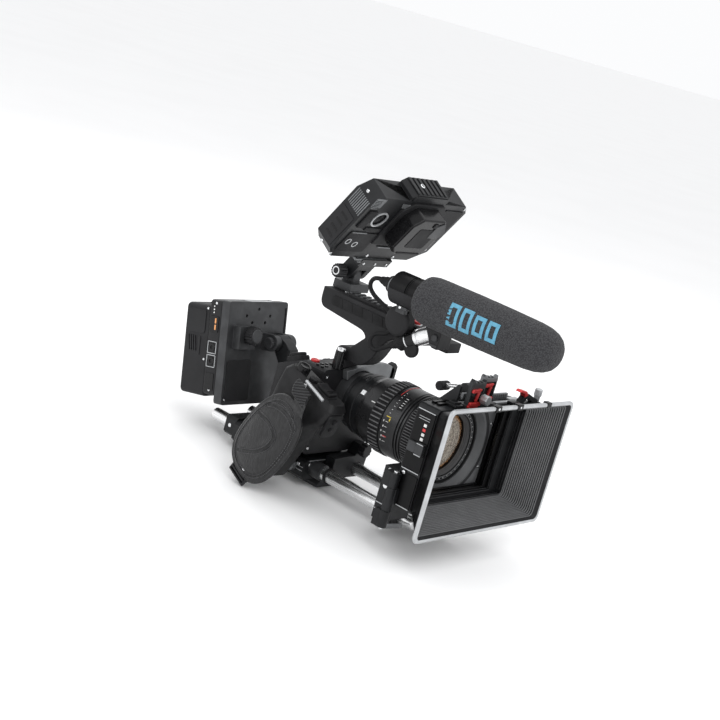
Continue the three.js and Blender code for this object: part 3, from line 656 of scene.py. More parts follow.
def make_body():
    from_cad("camera_body", "black_plastic", 1.2)
    from_cad("front_bezel", "grey_metal", 0.9)
    from_cad("camera_battery", "black_plastic", 1.5)
    frame["nodes"]["image_sensor"].data.materials.clear()
    frame["nodes"]["image_sensor"].data.materials.append(MAT["sensor"])
    mount = turned([(22, -60), (29, -60), (29.6, -59.4), (31, -58), (31, -45.3), (22, -45.3)], "Y",
                   (0, 0, AXIS_Z), 96, closed=True)
    piece("lens_mount_shell", "rig", "dark_metal", [mount], stands_for=["lens_mount"])

    # The near side: panel lines, a vent, a door, keys and a dial.
    side = -BODY_SIDE
    panels = [
        prism(rounded((-40, -8), (48, 84), 3), (side - 0.8, side + 0.6), "X", 0.3),
        prism(rounded((-4, 18), (48, 76), 3), (side - 0.8, side + 0.6), "X", 0.3),
        prism([(-10, 82), (18, 82), (18, 119), (-8, 132), (-10, 132)], (side - 1.0, side + 0.6), "X", 0.3),
        prism(rounded((-44, -16), (135, 138.5), 1.2), (side - 0.7, side + 0.6), "X", 0.3),
    ]
    for k in range(6):
        z = 88 + 5 * k
        panels.append(block((side - 1.7, side - 0.6), (-6, 14), (z, z + 2), 0.4))
    piece("near_side_panels", "rig", "soft_black", panels)
    far = [
        prism([(-12, 48), (18, 48), (18, 120), (-8, 132), (-12, 132)], (56.4, 58), "X", 0.4),
        prism(rounded((-42, -36), (60, 128), 2), (56.4, 57.8), "X", 0.3),
    ]
    for k in range(4):
        far.append(pin(2.6, (57.5, 59.0), "X", (0, -30 + 7 * k, 126), 0.5, 24))
    for k in range(9):
        z = 56 + 6 * k
        far.append(block((57.6, 58.8), (-8, 14), (z, z + 2.6), 0.5))
    piece("far_side_panels", "rig", "soft_black", far)
    back = [
        prism(rounded((-50, -26), (50, 118), 3), (21.6, 23.2), "Y", 0.4),
        prism(rounded((-20, 34), (107, 120), 3), (21.6, 22.15), "Y", 0.1),
        prism(rounded((38, 52), (50, 116), 3), (21.6, 23.6), "Y", 0.4),
    ]
    for k in range(5):
        back.append(pin(3.4, (22.8, 24.4), "Y", (-38, 0, 58 + 13 * k), 0.5, 24))
    piece("rear_panels", "rig", "soft_black", back)

    keys = []
    for row in range(3):
        for column in range(5 - row):
            x = -52 + 7.5 * column
            y = -36 + 7.0 * row
            if math.hypot(x + 44, y + 18) < 9 or math.hypot(x + 33.8, y + 42) < 10:
                continue
            keys.append(pin(2.0, (140.6, 142.3), "Z", (x, y, 0), 0.4, 20))
    for y, z in ((-34, 128), (-24, 128), (-34, 118), (-24, 118)):
        keys.append(pin(2.4, (side - 1.6, side + 0.4), "X", (0, y, z), 0.5, 20))
    piece("body_keys", "rig", "gloss_black", keys)
    piece("top_panels", "rig", "soft_black",
          [prism(rounded((2, 50), (-36, -18), 3), (140.6, 142.0), "Z", 0.4)])

    # The sloping deck behind the top: a lid, a row of keys and the eyecup on the operator's side.
    slope = Matrix.Rotation(-math.atan2(DECK_DROP, DECK_RUN), 4, "X")
    deck = Matrix.Translation((0, DECK_START, BODY_TOP)) @ slope
    lids = [prism(rounded((4, 48), (6, 34), 3), (-0.4, 1.2), "Z", 0.4)]
    lids += [pin(2.3, (-0.4, 1.4), "Z", (x, 10, 0), 0.4, 20) for x in (-12, -6)]
    piece("deck_lid", "rig", "soft_black", lids, deck)
    cup = [prism(rounded((-56, -34), (9, 31), 7, 8), (-1.5, 6), "Z", 1.6),
           turned([(5, 6), (9.4, 6), (9.8, 7.5), (9.4, 9), (8, 9.6), (6.4, 8), (5, 7)], "Z", (-45, 20, 0),
                  48, True)]
    piece("eyecup", "rig", "black_rubber", cup, deck)
    screws = [screw((53, y, BODY_TOP), (0, 0, 1), 1.5, 0.6) for y in (-18, -40)]
    screws += [screw((side, y, z), (-1, 0, 0), 1.6, 0.7) for y, z in ((-40, 92), (18, 78), (-40, 46))]
    screws += [screw((BODY_SIDE, y, z), (1, 0, 0), 1.6, 0.7) for y, z in ((-40, 134), (18, 45), (-40, 46))]
    screws += [screw((x, BODY_BACK, z), (0, 1, 0), 1.6, 0.7)
               for x, z in ((-53, 119), (53, 119), (-53, 45), (53, 45))]
    screws += [screw((x, BODY_FRONT, z), (0, -1, 0), 1.6, 0.7)
               for x, z in ((-50, 48), (50, 48), (50, 118), (-50, 132))]
    piece("body_screws", "rig", "screw_steel", screws)

    # The knob that clamps the handle's foot, and the mount's release.
    piece("foot_knob", "rig", "gloss_black",
          [knurled(6.3, (141.2, 162), "Z", (-34, -42, 0), 16, 0.5, True)])
    piece("foot_knob_cap", "rig", "screw_steel",
          [turned([(0, 161.6), (5.2, 161.6), (5.2, 163.6), (4.4, 164.4), (2.2, 164.4), (1.8, 163.2),
                   (0, 163.2)], "Z", (-34, -42, 0), 40)])
    lug = prism([(50, 126), (50, 147), (56, 149), (61, 145), (61, 128)], (-53, -45.5), "Y", 0.8)
    piece("bezel_lug", "rig", "soft_black", [lug])
    piece("record_button_shell", "record_button", "red_metal",
          [turned([(0, 138.5), (5, 138.5), (5, 142.4), (4.4, 143.1), (3.6, 143.2), (3.2, 142.9),
                   (0, 142.7)], "Z", (-44, -18, 0), 48)], stands_for=["record_button"])
    dial_marks = [moved(block((61.3, 61.8), (-0.4, 0.4), (9, 12), 0.05),
                        Matrix.Translation((0, -18, 88)) @ Matrix.Rotation(math.radians(a), 4, "X"))
                  for a in range(0, 360, 60)]
    piece("nd_dial_shell", "nd_dial", "black_plastic",
          [knurled(14, (57.3, 61.5), "X", (0, -18, 88), 36, 0.5)], stands_for=["nd_dial"])
    piece("nd_dial_marks", "nd_dial", "white_mark", dial_marks)


# ---------------------------------------------------------------- lens


def on_lens(shape, y, angle):
    """Puts a shape made at the top of the lens axis at an angle round it."""
    return shape, Matrix.Translation((0, y, 0)) @ Matrix.Rotation(math.radians(90 - angle), 4, "Y")


def make_lens():
    adapter = [(24, -60.3), (33, -60.3), (33, -64), (32.2, -64.5), (32.2, -66), (33, -66.5), (33, -70),
               (36, -72), (36, -77), (35.3, -77.6), (35.3, -79), (36, -79.6), (36, -86), (24, -86)]
    piece("mount_adapter_shell", "rig", "black_metal", [turned(adapter, "Y", sides=96, closed=True)], LENS,
          stands_for=["mount_adapter"])
    piece("adapter_release", "rig", "screw_steel", [
        on_lens(block((-3, 3), (-3, 3), (35.4, 38), 0.8), -84.5, 147),
        on_lens(block((-2, 2), (-1.2, 1.2), (35.6, 37), 0.3), -75, 120),
    ], LENS)
    barrel = [
        (27.2, -178), (34, -178), (34, -154.6), (38.6, -154.4), (39.4, -152.8), (40.6, -152.2),
        (40.6, -150.4), (39.2, -149.8), (39.2, -148.8), (41, -148.2), (41, -146.6), (39.4, -146),
        (39.4, -145.2), (41, -144.4), (41, -124), (40.4, -123.4), (34, -123.4), (34, -107.6),
        (38, -107.6), (38.5, -107), (38.5, -92),
        (37.6, -90), (37, -86.3), (27.2, -86.3),
    ]
    piece("lens_barrel_shell", "rig", "lens_black", [turned(barrel, "Y", sides=128, closed=True)], LENS,
          stands_for=["lens_barrel"])
    piece("zoom_ring_shell", "zoom_ring", "black_rubber",
          [ribbed_ring(34.3, LENS_R, (-123, -108), 64, 1.3)], LENS, stands_for=["zoom_ring"])
    # Pale strips on the zoom ring's rib crests: a painted highlight.
    crests = [on_lens(block((-0.75, 0.75), (-6.6, 6.6), (41.4, 42.15), 0.2), -115.5, 360 * k / 52)
              for k in range(52)]
    piece("zoom_ring_crests", "zoom_ring", "painted_glint_rubber", crests, LENS)
    piece("focus_ring_shell", "focus_ring", "black_rubber",
          [ribbed_ring(34.3, LENS_R, (-177.6, -155), 120, 0.9)], LENS, stands_for=["focus_ring"])
    # Pale strips on the focus ring's rib crests: a painted highlight.
    crests = [on_lens(block((-0.42, 0.42), (-10.4, 10.4), (41.5, 42.12), 0.15), -166.3, 360 * k / 84)
              for k in range(84)]
    piece("focus_ring_crests", "focus_ring", "painted_glint_rubber", crests, LENS)
    front = [(22, -178), (33.5, -178), (33.9, -181), (34.6, -183), (35.4, -187), (36, -188.6), (37, -189),
             (40.2, -189), (41, -188.2), (41, -178.3), (26.8, -178.3), (26.8, -135), (22, -135)]
    piece("lens_front_shell", "lens_front_group", "satin_black",
          [turned(front, "Y", sides=128, closed=True)], LENS, stands_for=["lens_front"])
    steps = [turned([(r, y + 0.5), (r + 0.5, y), (r + 0.5, y + 0.7), (r, y + 0.7)], "Y", sides=96,
                    closed=True)
             for r, y in ((33.2, -182.3), (33.8, -184.4), (34.5, -186.4))]
    cone = [(33.5, -181.6), (35.2, -187.2), (37.0, -189.3), (37.8, -189.3), (37.8, -188.8), (36.2, -188.4),
            (34, -181.6)]
    steps.append(turned(cone, "Y", sides=128, closed=True))
    steps.append(turned([(39.5, -189.3), (40.2, -189.3), (40.2, -188.8), (39.5, -188.8)], "Y", sides=128,
                        closed=True))
    piece("lens_front_steps", "lens_front_group", "plate_grey", steps, LENS)
    dome = [(0, -184.5), (7, -184.2), (14, -183.5), (20, -182.5), (26, -181), (30, -179.8), (32.6, -178.8),
            (32.6, -178.3), (0, -178.3)]
    piece("front_glass_shell", "lens_front_group", "glass", [turned(dome, "Y", sides=96)], LENS,
          stands_for=["front_glass"])

    # Distance scale, zoom scale and index lines, filled with paint.
    white, yellow, red = [], [], []
    for k in range(9):
        white.append(on_lens(block((-0.22, 0.22), (-0.8, 0.8), (40.9, 41.12), 0.05), -131, 116 + 6 * k))
    for k in range(5):
        white.append(on_lens(block((-1.0, 1.0), (-0.5, 0.5), (40.9, 41.15), 0.05), -127 - 1.2 * (k % 2),
                             172 + 8 * k))
        white.append(on_lens(block((-0.25, 0.25), (-1.8, 1.8), (40.9, 41.15), 0.05), -131.5, 172 + 8 * k))
    white.append(on_lens(block((-0.5, 0.5), (-2.5, 2.5), (38.4, 38.65), 0.05), -103, 154))
    yellow.append(on_lens(block((-0.4, 0.4), (-3, 3), (40.9, 41.2), 0.05), -131.5, 164))
    yellow.append(on_lens(block((-1.6, 1.6), (-0.5, 0.5), (40.9, 41.2), 0.05), -134, 168))
    red.append(on_lens(block((-0.5, 0.5), (-2.5, 2.5), (40.9, 41.2), 0.05), -132.5, 195))
    red += [on_lens(block((-2.0, 2.0), (-0.35, 0.35), (40.9, 41.2), 0.05), -127.5, 84 + 5.4 * k)
            for k in range(8)]
    rim = [on_lens(block((-0.25, 0.25), (-0.15, 0.15), (37.4, 39.4), 0.05), -189.02, 10 * k)
           for k in range(36)]
    piece("lens_white_marks", "rig", "white_mark", white, LENS)
    piece("lens_rim_marks", "lens_front_group", "white_mark", rim, LENS)
    piece("lens_yellow_marks", "rig", "yellow_mark", yellow, LENS)
    piece("lens_red_marks", "rig", "red_mark", red, LENS)
    window = [on_lens(block((-9, 9), (-3.6, 3.6), (39.2, 41.2), 0.6), -138.5, 136)]
    piece("distance_window", "rig", "gloss_black", window, LENS)
    scale = [on_lens(block((-6.5 + 3.2 * k, -5.9 + 3.2 * k), (-1.6, 1.6), (41.1, 41.32), 0.04), -138.5, 136)
             for k in range(5)]
    piece("distance_scale", "rig", "white_mark", scale, LENS)


# ---------------------------------------------------------------- matte box


def rectangle_loop(width, height, radius, y, steps=5):
    """A rounded rectangle round the lens axis at one distance along it."""
    outline = rounded((-width / 2, width / 2), (AXIS_Z - height / 2, AXIS_Z + height / 2), radius, steps)
    return [(x, y, z) for x, z in outline]


def hood_loop(t, inset, y=None):
    """A loop of the hood's funnel, from 0 at the frame to 1 at the lip."""
    width = HOOD_REAR[0] + (HOOD_FRONT[0] - HOOD_REAR[0]) * t - 2 * inset
    height = HOOD_REAR[1] + (HOOD_FRONT[1] - HOOD_REAR[1]) * t - 2 * inset
    return rectangle_loop(width, height, 7 - inset / 2, HOOD_REAR[2] + (HOOD_FRONT[2] - HOOD_REAR[2]) * t
                          if y is None else y)


def make_hood():
    ribs = 17
    lip_y = HOOD_FRONT[2]
    shell = [
        hood_loop(0, 2.5), hood_loop(0, 0.6), hood_loop(0.02, 0), hood_loop(0.5, 0.5), hood_loop(0.9, 1.0),
        hood_loop(0.9, 3.0), hood_loop(0.88, 2.5),
    ]
    piece("hood_shell", "matte_box", "satin_black", [skin(shell, closed=True)], stands_for=["hood"])
    # The rib crests are pale: a painted highlight on each crest.
    crests = []
    for k in range(ribs):
        near, far = (k + 0.52) / ribs * 0.87 + 0.01, (k + 0.88) / ribs * 0.87 + 0.01
        profile = ((near, 2.3), (near, 4.1), (near + 0.003, 4.4), (far - 0.003, 4.4), (far, 4.1),
                   (far, 2.3))
        crests.append(skin([hood_loop(t, inset) for t, inset in profile], closed=True))
    piece("hood_ribs", "matte_box", "painted_rib_highlight", crests)
    lip = [
        hood_loop(1, 1.3, lip_y + 4.2), hood_loop(1, 0.3, lip_y + 3.8), hood_loop(1, 0, lip_y + 3.0),
        hood_loop(1, 0, lip_y + 1.2), hood_loop(1, 0.4, lip_y + 0.4), hood_loop(1, 1.2, lip_y),
        hood_loop(1, 3.2, lip_y), hood_loop(1, 3.8, lip_y + 0.5), hood_loop(1, 4.0, lip_y + 1.2),
        hood_loop(1, 4.0, lip_y + 4.2),
    ]
    piece("hood_lip", "matte_box", "light_metal", [skin(lip, closed=True)])
    band = [hood_loop(0.885, 2.4), hood_loop(0.885, 3.9), hood_loop(0.985, 3.9), hood_loop(0.985, 2.4)]
    piece("hood_lip_band", "matte_box", "soft_black", [skin(band, closed=True)])
    # A pale line along the hood's rear edge: a painted highlight at the start of the ribs.
    edge = [hood_loop(0.0, 2.3), hood_loop(0.0, 3.9), hood_loop(0.012, 3.9), hood_loop(0.012, 2.3)]
    piece("hood_rear_edge", "matte_box", "painted_rib_highlight", [skin(edge, closed=True)])


def make_matte_box():
    from_cad("mattebox_frame", "black_metal", 0.7)
    from_cad("mattebox_bracket", "black_metal", 0.9)
    from_cad("swing_pin", "screw_steel", 0.4)
    from_cad("rod_clamp_lever", "grey_metal", 0.5)

    # Each filter tray is an open frame, and a pull tab stands above the matte box.
    for number, y in ((1, -199.6), (2, -206.0)):
        x0 = -20 + 46 * (number - 1)
        rails = [block(x, (y - 1.8, y + 1.8), (57.4, 167), 0.4) for x in ((-68.5, -58), (58, 68.5))]
        rails += [block((-58.2, 58.2), (y - 1.8, y + 1.8), z, 0.4) for z in ((57.4, 65), (153, 167))]
        tab = block((x0, x0 + 28), (y - 1.8, y + 1.8), (166, 174), 0.8)
        grip = [block((x0 + 3 + 4 * k, x0 + 5 + 4 * k), (y - 2.2, y + 2.2), (169, 173), 0.3)
                for k in range(6)]
        piece(f"filter_tray_{number}_shell", f"filter_tray_{number}", "satin_black", rails,
              stands_for=[f"filter_tray_{number}"])
        piece(f"filter_tray_{number}_tab", f"filter_tray_{number}", "grey_metal", [tab] + grip)

    # Behind the trays: grey corners with pins, a black groove, a grey cone and the lens's rubber sleeve.
    def face_ring(inner, outer, y):
        return turned([(inner, y), (outer, y), (outer, -197.45), (inner, -197.45)], "Y", (0, 0, AXIS_Z),
                      128, True)

    corners = []
    for side in (-1, 1):
        arc = [math.radians(50 - 100 * k / 24) for k in range(25)]
        outline = [(side * 57.5 * math.cos(a), AXIS_Z + 57.5 * math.sin(a)) for a in arc]
        corners.append(prism(outline + [(side * 65.8, AXIS_Z - 44), (side * 65.8, AXIS_Z + 44)],
                             (-197.7, -197.45), "Y", 0))
    piece("back_corners", "matte_box", "plate_grey", corners)
    piece("back_groove", "matte_box", "soft_black", [face_ring(52.6, 57.4, -197.55)])
    cone = [(43.9, -186), (44.4, -186), (44.4, -190.8), (49.6, -196.6), (49.9, -197.45), (52.4, -197.45),
            (52.4, -197.75), (49.4, -197.75), (43.9, -191.2)]
    piece("back_cone", "matte_box", "plate_grey", [turned(cone, "Y", (0, 0, AXIS_Z), 128, True)])
    sleeve = [(42.5, -179), (43.3, -179), (43.3, -190.4), (42.9, -190.8), (42.5, -190.4)]
    piece("lens_donut", "rig", "black_rubber", [turned(sleeve, "Y", (0, 0, AXIS_Z), 128, True)])
    pins = [screw((x, -197.7, z), (0, -1, 0), 1.5, 1.2, False) for x in (-54, 54) for z in (84, 135)]
    piece("back_pins", "matte_box", "screw_steel", pins)
    steps = [block((-78.6, 78.6), (-220.0, -219.2), (58.1, 59.4), 0.2),
             block((-78.6, 78.6), (-216.4, -215.6), (58.1, 58.9), 0.2),
             block((-66.4, 66.4), (-212.6, -212.1), (61.0, 61.9), 0.15),
             block((-65.4, 65.4), (-209.6, -209.0), (62.1, 62.8), 0.15)]
    for x, y in ((78.7, -217.6), (78.7, -214.2), (65.8, -210.6)):
        steps.append(block((x - 0.5, x + 0.2), (y - 0.25, y + 0.25), (63, 155), 0.1))
    piece("window_steps", "matte_box", "dark_metal", steps)

    # The near side: two door panels, their bright edges and marks, a two-part latch and screws.
    side = -84.0
    door = prism(rounded((-219, -196), (96, 160), 2), (side - 1.4, side + 0.4), "X", 0.5)
    lower = prism(rounded((-219, -196), (54, 91), 2), (side - 1.2, side + 0.4), "X", 0.5)
    piece("side_door", "matte_box", "satin_black", [door, lower])
    trims = [block((side - 1.7, side - 1.2), (-218.6, -196.4), (z, z + 0.9), 0.1)
             for z in (94.2, 159.2, 55)]
    trims += [block((side - 1.8, side - 1.2), (-214, -200), (z, z + 0.5), 0.1) for z in (150, 152.5)]
    piece("side_door_edges", "matte_box", "light_metal", trims)
    marks = [block((side - 1.75, side - 1.2), (-212, -208.4), (128.5 + 5 * k, 131.5 + 5 * k), 0.1)
             for k in (0, 1, 3)]
    piece("side_door_marks", "matte_box", "white_mark", marks)
    piece("side_door_red_mark", "matte_box", "red_mark",
          [block((side - 1.75, side - 1.2), (-212, -208.4), (138.5, 141.5), 0.1)])
    clip = [block((-89.5, -84.3), (-217.8, -208), (113.2, 126.8), 0.9),
            block((-88.6, -84.3), (-207.2, -197), (114.4, 125.6), 0.9),
            block((-89.0, -85), (-208, -206.8), (116, 124), 0.2)]
    piece("side_latch_shell", "side_latch", "dark_metal", clip, stands_for=["side_latch"])
    edges = [block((-89.7, -89.3), (-217, -208.6), (z, z + 0.8), 0.1) for z in (113.6, 125.4)]
    piece("side_latch_edges", "side_latch", "light_metal", edges)
    heads = [screw((-84, -184, z), (-1, 0, 0), 3.4, 2.2, False) for z in (84, 68)]
    heads += [screw((-47, -158, 28), (-1, 0, 0), 2.6, 1.4), screw((-47, -158, 18.5), (-1, 0, 0), 2.2, 1.4),
              screw((-47, -171, 32), (-1, 0, 0), 1.8, 1.0)]
    piece("bracket_screws", "rig", "screw_steel", heads)
    piece("door_screw", "matte_box", "screw_steel",
          [screw((side - 1.2, -201, 90.5), (-1, 0, 0), 2.0, 1.6, False)])
    steps = [block((-84.6, -83.6), (-190, -177), (z, z + 1.0), 0.2) for z in (40, 47)]
    steps += [block((-70, -42), (-177.4, -176), (z, z + 0.8), 0.2) for z in (36, 82)]
    piece("bracket_lines", "rig", "light_metal", steps)

    # Two flag clamps stand side by side on a shared foot, each with a red jaw, and one bright knob.
    foot = [block((-40, 16), (-220, -208.7), (165.3, 169), 0.6)]
    near = prism([(-37, 168), (-12.5, 168), (-12.5, 191), (-13.6, 195.6), (-16, 192.8), (-24, 191.8),
                  (-32, 192.4), (-35, 196.6), (-37.4, 193)], (-219.6, -214.6), "Y", 0.5)
    teeth = [block((-32 + 6 * k, -29 + 6 * k), (-219, -213), (191.4, 193.4), 0.4) for k in range(3)]
    piece("flag_bracket_near", "matte_box", "dark_metal", foot + [near] + teeth,
          stands_for=["flag_bracket"])
    far = prism([(-10, 168), (15, 168), (15.4, 193), (14, 198.2), (11.4, 195.4), (3, 194.8), (-6, 195.4),
                 (-8.6, 199), (-10.6, 196)], (-213.8, -208.7), "Y", 0.5)
    teeth = [block((-6 + 6 * k, -3 + 6 * k), (-213, -208), (194.4, 196.4), 0.4) for k in range(3)]
    piece("flag_bracket_far", "matte_box", "grey_metal", [far] + teeth)
    panels = [block((-35, -15), (-220.0, -219.2), (171, 186), 0.3),
              block((-8, 13), (-214.3, -213.5), (171, 191), 0.3)]
    piece("flag_jaw_wells", "matte_box", "gloss_black", panels)
    red = []
    for x, y, z in ((-36, -220.0, 171), (-8, -214.2, 174)):
        red.append(prism([(x, z + 11.5), (x + 12, z + 12.5), (x + 14, z + 14.5), (x + 14, z + 16),
                          (x + 0.5, z + 15)], (y - 2.6, y + 0.6), "Y", 0.5))
        red.append(prism([(x + 8.5, z + 2), (x + 12, z + 2), (x + 14, z + 13), (x + 10, z + 13)],
                         (y - 1.6, y + 0.6), "Y", 0.4))
        red.append(block((x, x + 18), (y - 3.0, y + 0.6), (z - 2.5, z + 1.2), 0.7))
    red.append(block((-38, -20), (-222, -219), (166.2, 168.6), 0.6))
    piece("flag_jaws", "matte_box", "red_metal", red)
    knob = [turned([(0, -230), (5.0, -230), (5.5, -229.4), (5.5, -222.4), (4.6, -221.6), (4.0, -220.3),
                    (0, -220.3)], "Y", (-16, 0, 176), 8)]
    piece("flag_knob_shell", "flag_knob", "light_metal", knob, stands_for=["flag_knob"], angle=20)
    shelf = [block((-55, -41), (-219, -205), (165.3, 168.4), 0.6),
             block((-54, -43), (-216, -208), (168, 171), 0.5),
             prism([(-189.5, 165.4), (-211, 165.4), (-211, 186.5), (-208, 187.6)], (-45, -41.5), "X", 0.4)]
    piece("flag_gusset", "matte_box", "black_metal", shelf)
    bars = [block((20, 64), (-217, -212), (165.2, 168.2), 0.6),
            block((58, 76), (-209, -203), (165.2, 167.6), 0.6)]
    piece("top_rails", "matte_box", "light_metal", bars)
    second = [block((41, 84), (-232, -222.5), (169.2, 171.6), 0.7),
              block((30, 44), (-230, -223), (169.2, 173), 0.6),
              prism([(41, 170), (49, 170), (56, 177), (63, 174), (69, 171), (80, 171), (80, 174), (67, 178),
                     (57, 182), (49, 180)], (-231, -225), "Y", 0.5)]
    piece("second_bracket", "matte_box", "black_metal", second)
    piece("second_bracket_claw", "matte_box", "red_metal",
          [prism([(49, 178), (55, 180.5), (51, 185), (40, 187), (37, 184.6), (47, 182.6)], (-231.6, -224.6),
                 "Y", 0.6)])
    piece("second_bracket_knob", "matte_box", "light_metal",
          [turned([(0, 172), (3.6, 172), (3.6, 178), (4.4, 178.6), (4.4, 185), (3.6, 186), (0, 186)], "Z",
                  (79, -228, 0), 8)], angle=20)
    lip_z = AXIS_Z + HOOD_FRONT[1] / 2
    clips = []
    for x in (-34, 6):
        clips.append(block((x - 5, x + 5), (-256.2, -249), (lip_z - 5.0, lip_z + 1.2), 0.8))
    clips.append(block((58, 66), (-256.0, -249), (lip_z - 4.5, lip_z + 1.0), 0.7))
    piece("lip_clips", "matte_box", "satin_black", clips)
    piece("lip_screws", "matte_box", "screw_steel",
          [screw((-34, -256.1, lip_z - 1.8), (0, -1, 0), 1.5, 0.5),
           screw((6, -256.1, lip_z - 1.8), (0, -1, 0), 1.3, 0.5)])

    # The tommy bar with its knurled knob, on a clamp with a triangular gusset.
    lever = [tube([(0.5, -188, 175), (0.5, -174, 171), (0.5, -160, 166.5)], 2.2, 20)]
    piece("locking_lever_shell", "locking_lever", "steel", lever, stands_for=["locking_lever"])
    piece("locking_lever_hub", "locking_lever", "black_metal",
          [pin(6, (-6, 8), "X", (0, -190, 174.5), 0.8, 32)])
    piece("locking_lever_knob", "locking_lever", "soft_black",
          [knurled(5.2, (-8, 8), "X", (0, -160, 166), 20, 0.4)])
    gusset = prism([(-186, 166), (-199, 166), (-199, 169.5), (-190, 168.6)], (-20, 20), "X", 0.4)
    piece("clamp_gusset", "matte_box", "black_metal", [gusset])


# ---------------------------------------------------------------- top handle


def make_handle():
    from_cad("top_handle", "soft_black", 1.6, segments=3)
    from_cad("audio_module", "black_plastic", 1.0)
    teeth = [block((-23, -7), (-98 + 8 * k, -94 + 8 * k), (222.2, 224), 0.4) for k in range(10)]
    piece("handle_rail_teeth", "rig", "dark_metal", teeth)
    sides = []
    for x in ((-27.8, -26.6), (-3.4, -2.2)):
        sides.append(prism(rounded((-118, -4), (203, 214), 4), x, "X", 0.4))
        for k in range(7):
            y = -112 + 15 * k
            sides.append(prism([(y, 204), (y + 2, 204), (y + 5, 213), (y + 3, 213)],
                               (x[0] - 0.4, x[1] + 0.4), "X", 0.2))
    piece("handle_side_inlays", "rig", "black_rubber", sides)
    screws = [screw((-3, -39.8, 158), (1, 0, 0), 2.6, 1.2), screw((-27, -158, 211.5), (-1, 0, 0), 1.6, 0.8),
              screw((-15, -12, 219), (0, 0, 1), 2.2, 1.2), screw((-15, 12, 214), (0, 1, 0), 2.0, 0.8)]
    piece("handle_screws", "rig", "screw_steel", screws)
    button = turned([(0, 219.2), (5, 219.2), (5, 221.6), (4.4, 222.4), (3.6, 222.5), (3.2, 222.2),
                     (0, 222.0)], "Z", (-15, -114, 0), 48)
    piece("handle_record_button_shell", "handle_record_button", "red_metal", [button],
          stands_for=["handle_record_button"])
    well = turned([(5.4, 218.7), (7.4, 218.7), (7.2, 219.8), (5.6, 219.8)], "Z", (-15, -114, 0), 48, True)
    piece("handle_button_ring", "rig", "light_metal", [well])
    dials = [knurled(4.2, (-50.4, -48.8), "X", (0, -166, 222), 18, 0.4),
             block((-49.8, -48.6), (-171, -161), (213, 215), 0.3)]
    piece("audio_dials", "rig", "dark_metal", dials)
    bit = [block((-47, -30), (-170, -160), (229.4, 231.2), 0.5),
           block((-45, -40), (-158, -154), (229.3, 232), 0.5)]
    piece("audio_top_bits", "rig", "grey_metal", bit)


# ---------------------------------------------------------------- microphone and its cable

# The cable's route, in mm, from the microphone's plug to the plug in the audio module.
CABLE_ROUTE = [
    (-52, -81.2, 257), (-52, -77.5, 256.9), (-51.5, -71.5, 254.5), (-50.5, -68, 249),
    (-48.5, -68.5, 242.5), (-45, -73, 236.5), (-40.5, -80, 231.5), (-36.5, -88, 226.5),
    (-33.5, -94, 219.5), (-33, -97.5, 212), (-33, -97.5, 205.5), (-33.8, -92.5, 200.5),
    (-35, -85.5, 198), (-36.5, -79.5, 194), (-37.3, -77.5, 187.5), (-37.5, -81, 181.8),
    (-37.5, -88.5, 180.4), (-37.5, -96, 184.9), (-37.5, -105.4, 191.1),
]
CABLE_R = 2.4


def make_cable():
    path = smooth_path(CABLE_ROUTE, 6)
    cable = piece("mic_cable_jacket", "rig", "black_rubber", [tube(path, CABLE_R, 20)],
                  stands_for=["mic_cable"], angle=60)
    rear = turned([(0, 0.3), (8.2, 0.3), (9, 1.1), (9, 6.4), (8.4, 7.2), (6.4, 8.4), (5.6, 10), (5.6, 13.6),
                   (4.4, 14.4), (4.2, 15.8), (4.6, 16.2), (4.0, 17.0), (4.2, 18.4), (3.6, 18.8),
                   (3.4, 20.5), (0, 20.5)], "Y", sides=48)
    mic = Matrix.Translation((MIC_X, -102, MIC_Z))
    plug = piece("mic_plug_shell", "rig", "black_rubber", [rear], mic, stands_for=["mic_plug"])
    band = turned([(9.0, 2.4), (9.2, 2.6), (9.2, 3.6), (9.0, 3.8), (8.8, 3.8), (8.8, 2.4)], "Y", sides=48,
                  closed=True)
    ring = piece("mic_plug_ring", "rig", "grey_metal", [band], mic)
    shell = turned([(0, 0), (9, 0), (9, 15), (8.5, 15.6), (8.5, 17), (9, 17.4), (9, 21), (0, 21)], "Y",
                   sides=64)
    front = piece("input_plug_barrel", "rig", "steel", [shell], INPUT, stands_for=["input_plug"])
    body = turned([(0, 21), (8.8, 21), (9, 21.6), (9, 30), (8.2, 30.6), (8.2, 32), (0, 32)], "Y", sides=64)
    middle = piece("input_plug_sleeve", "rig", "gloss_black", [body], INPUT)
    silver = turned([(0, 32), (8.9, 32), (8.9, 33.4), (0, 33.4)], "Y", sides=64)
    thin = piece("input_plug_ring", "rig", "screw_steel", [silver], INPUT)
    grip = knurled(8.8, (33.4, 45), "Y", (0, 0, 0), 30, 0.35)
    boot = turned([(0, 45), (7.4, 45), (6.6, 47), (5.0, 49), (4.6, 51), (4.9, 51.6), (4.2, 52.6), (4.4, 54),
                   (3.8, 54.6), (3.4, 58), (0, 58)], "Y", sides=40)
    knob = piece("input_plug_grip", "rig", "black_rubber", [grip, boot], INPUT)


def foam_skin():
    """The windscreen: a closed, slightly lumpy foam sleeve with a rounded nose and a rolled rear rim."""
    outline = [(11.4, -137), (11.4, -44), (13, -41), (17, -39.2), (21.5, -40), (24.4, -43), (25.7, -49),
               (26, -58),
               (26, -75), (26, -98), (25.7, -125), (25.2, -152), (24.4, -180), (23.2, -191), (20.8, -199),
               (17.5, -204.6), (13.5, -208), (8.5, -210.3), (4, -210.9), (0.01, -211), (0.01, -137)]
    bm = turned([(r, y) for r, y in outline], "Y", sides=128)
    long_edges = [e for e in bm.edges if e.calc_length() > 6]
    bmesh.ops.subdivide_edges(bm, edges=long_edges, cuts=5, use_grid_fill=True)
    rng = random.Random(4)
    bm.normal_update()
    for v in bm.verts:
        if math.hypot(v.co.x, v.co.z) > 12:
            v.co += v.normal * rng.uniform(-0.12, 0.10)
    return bm


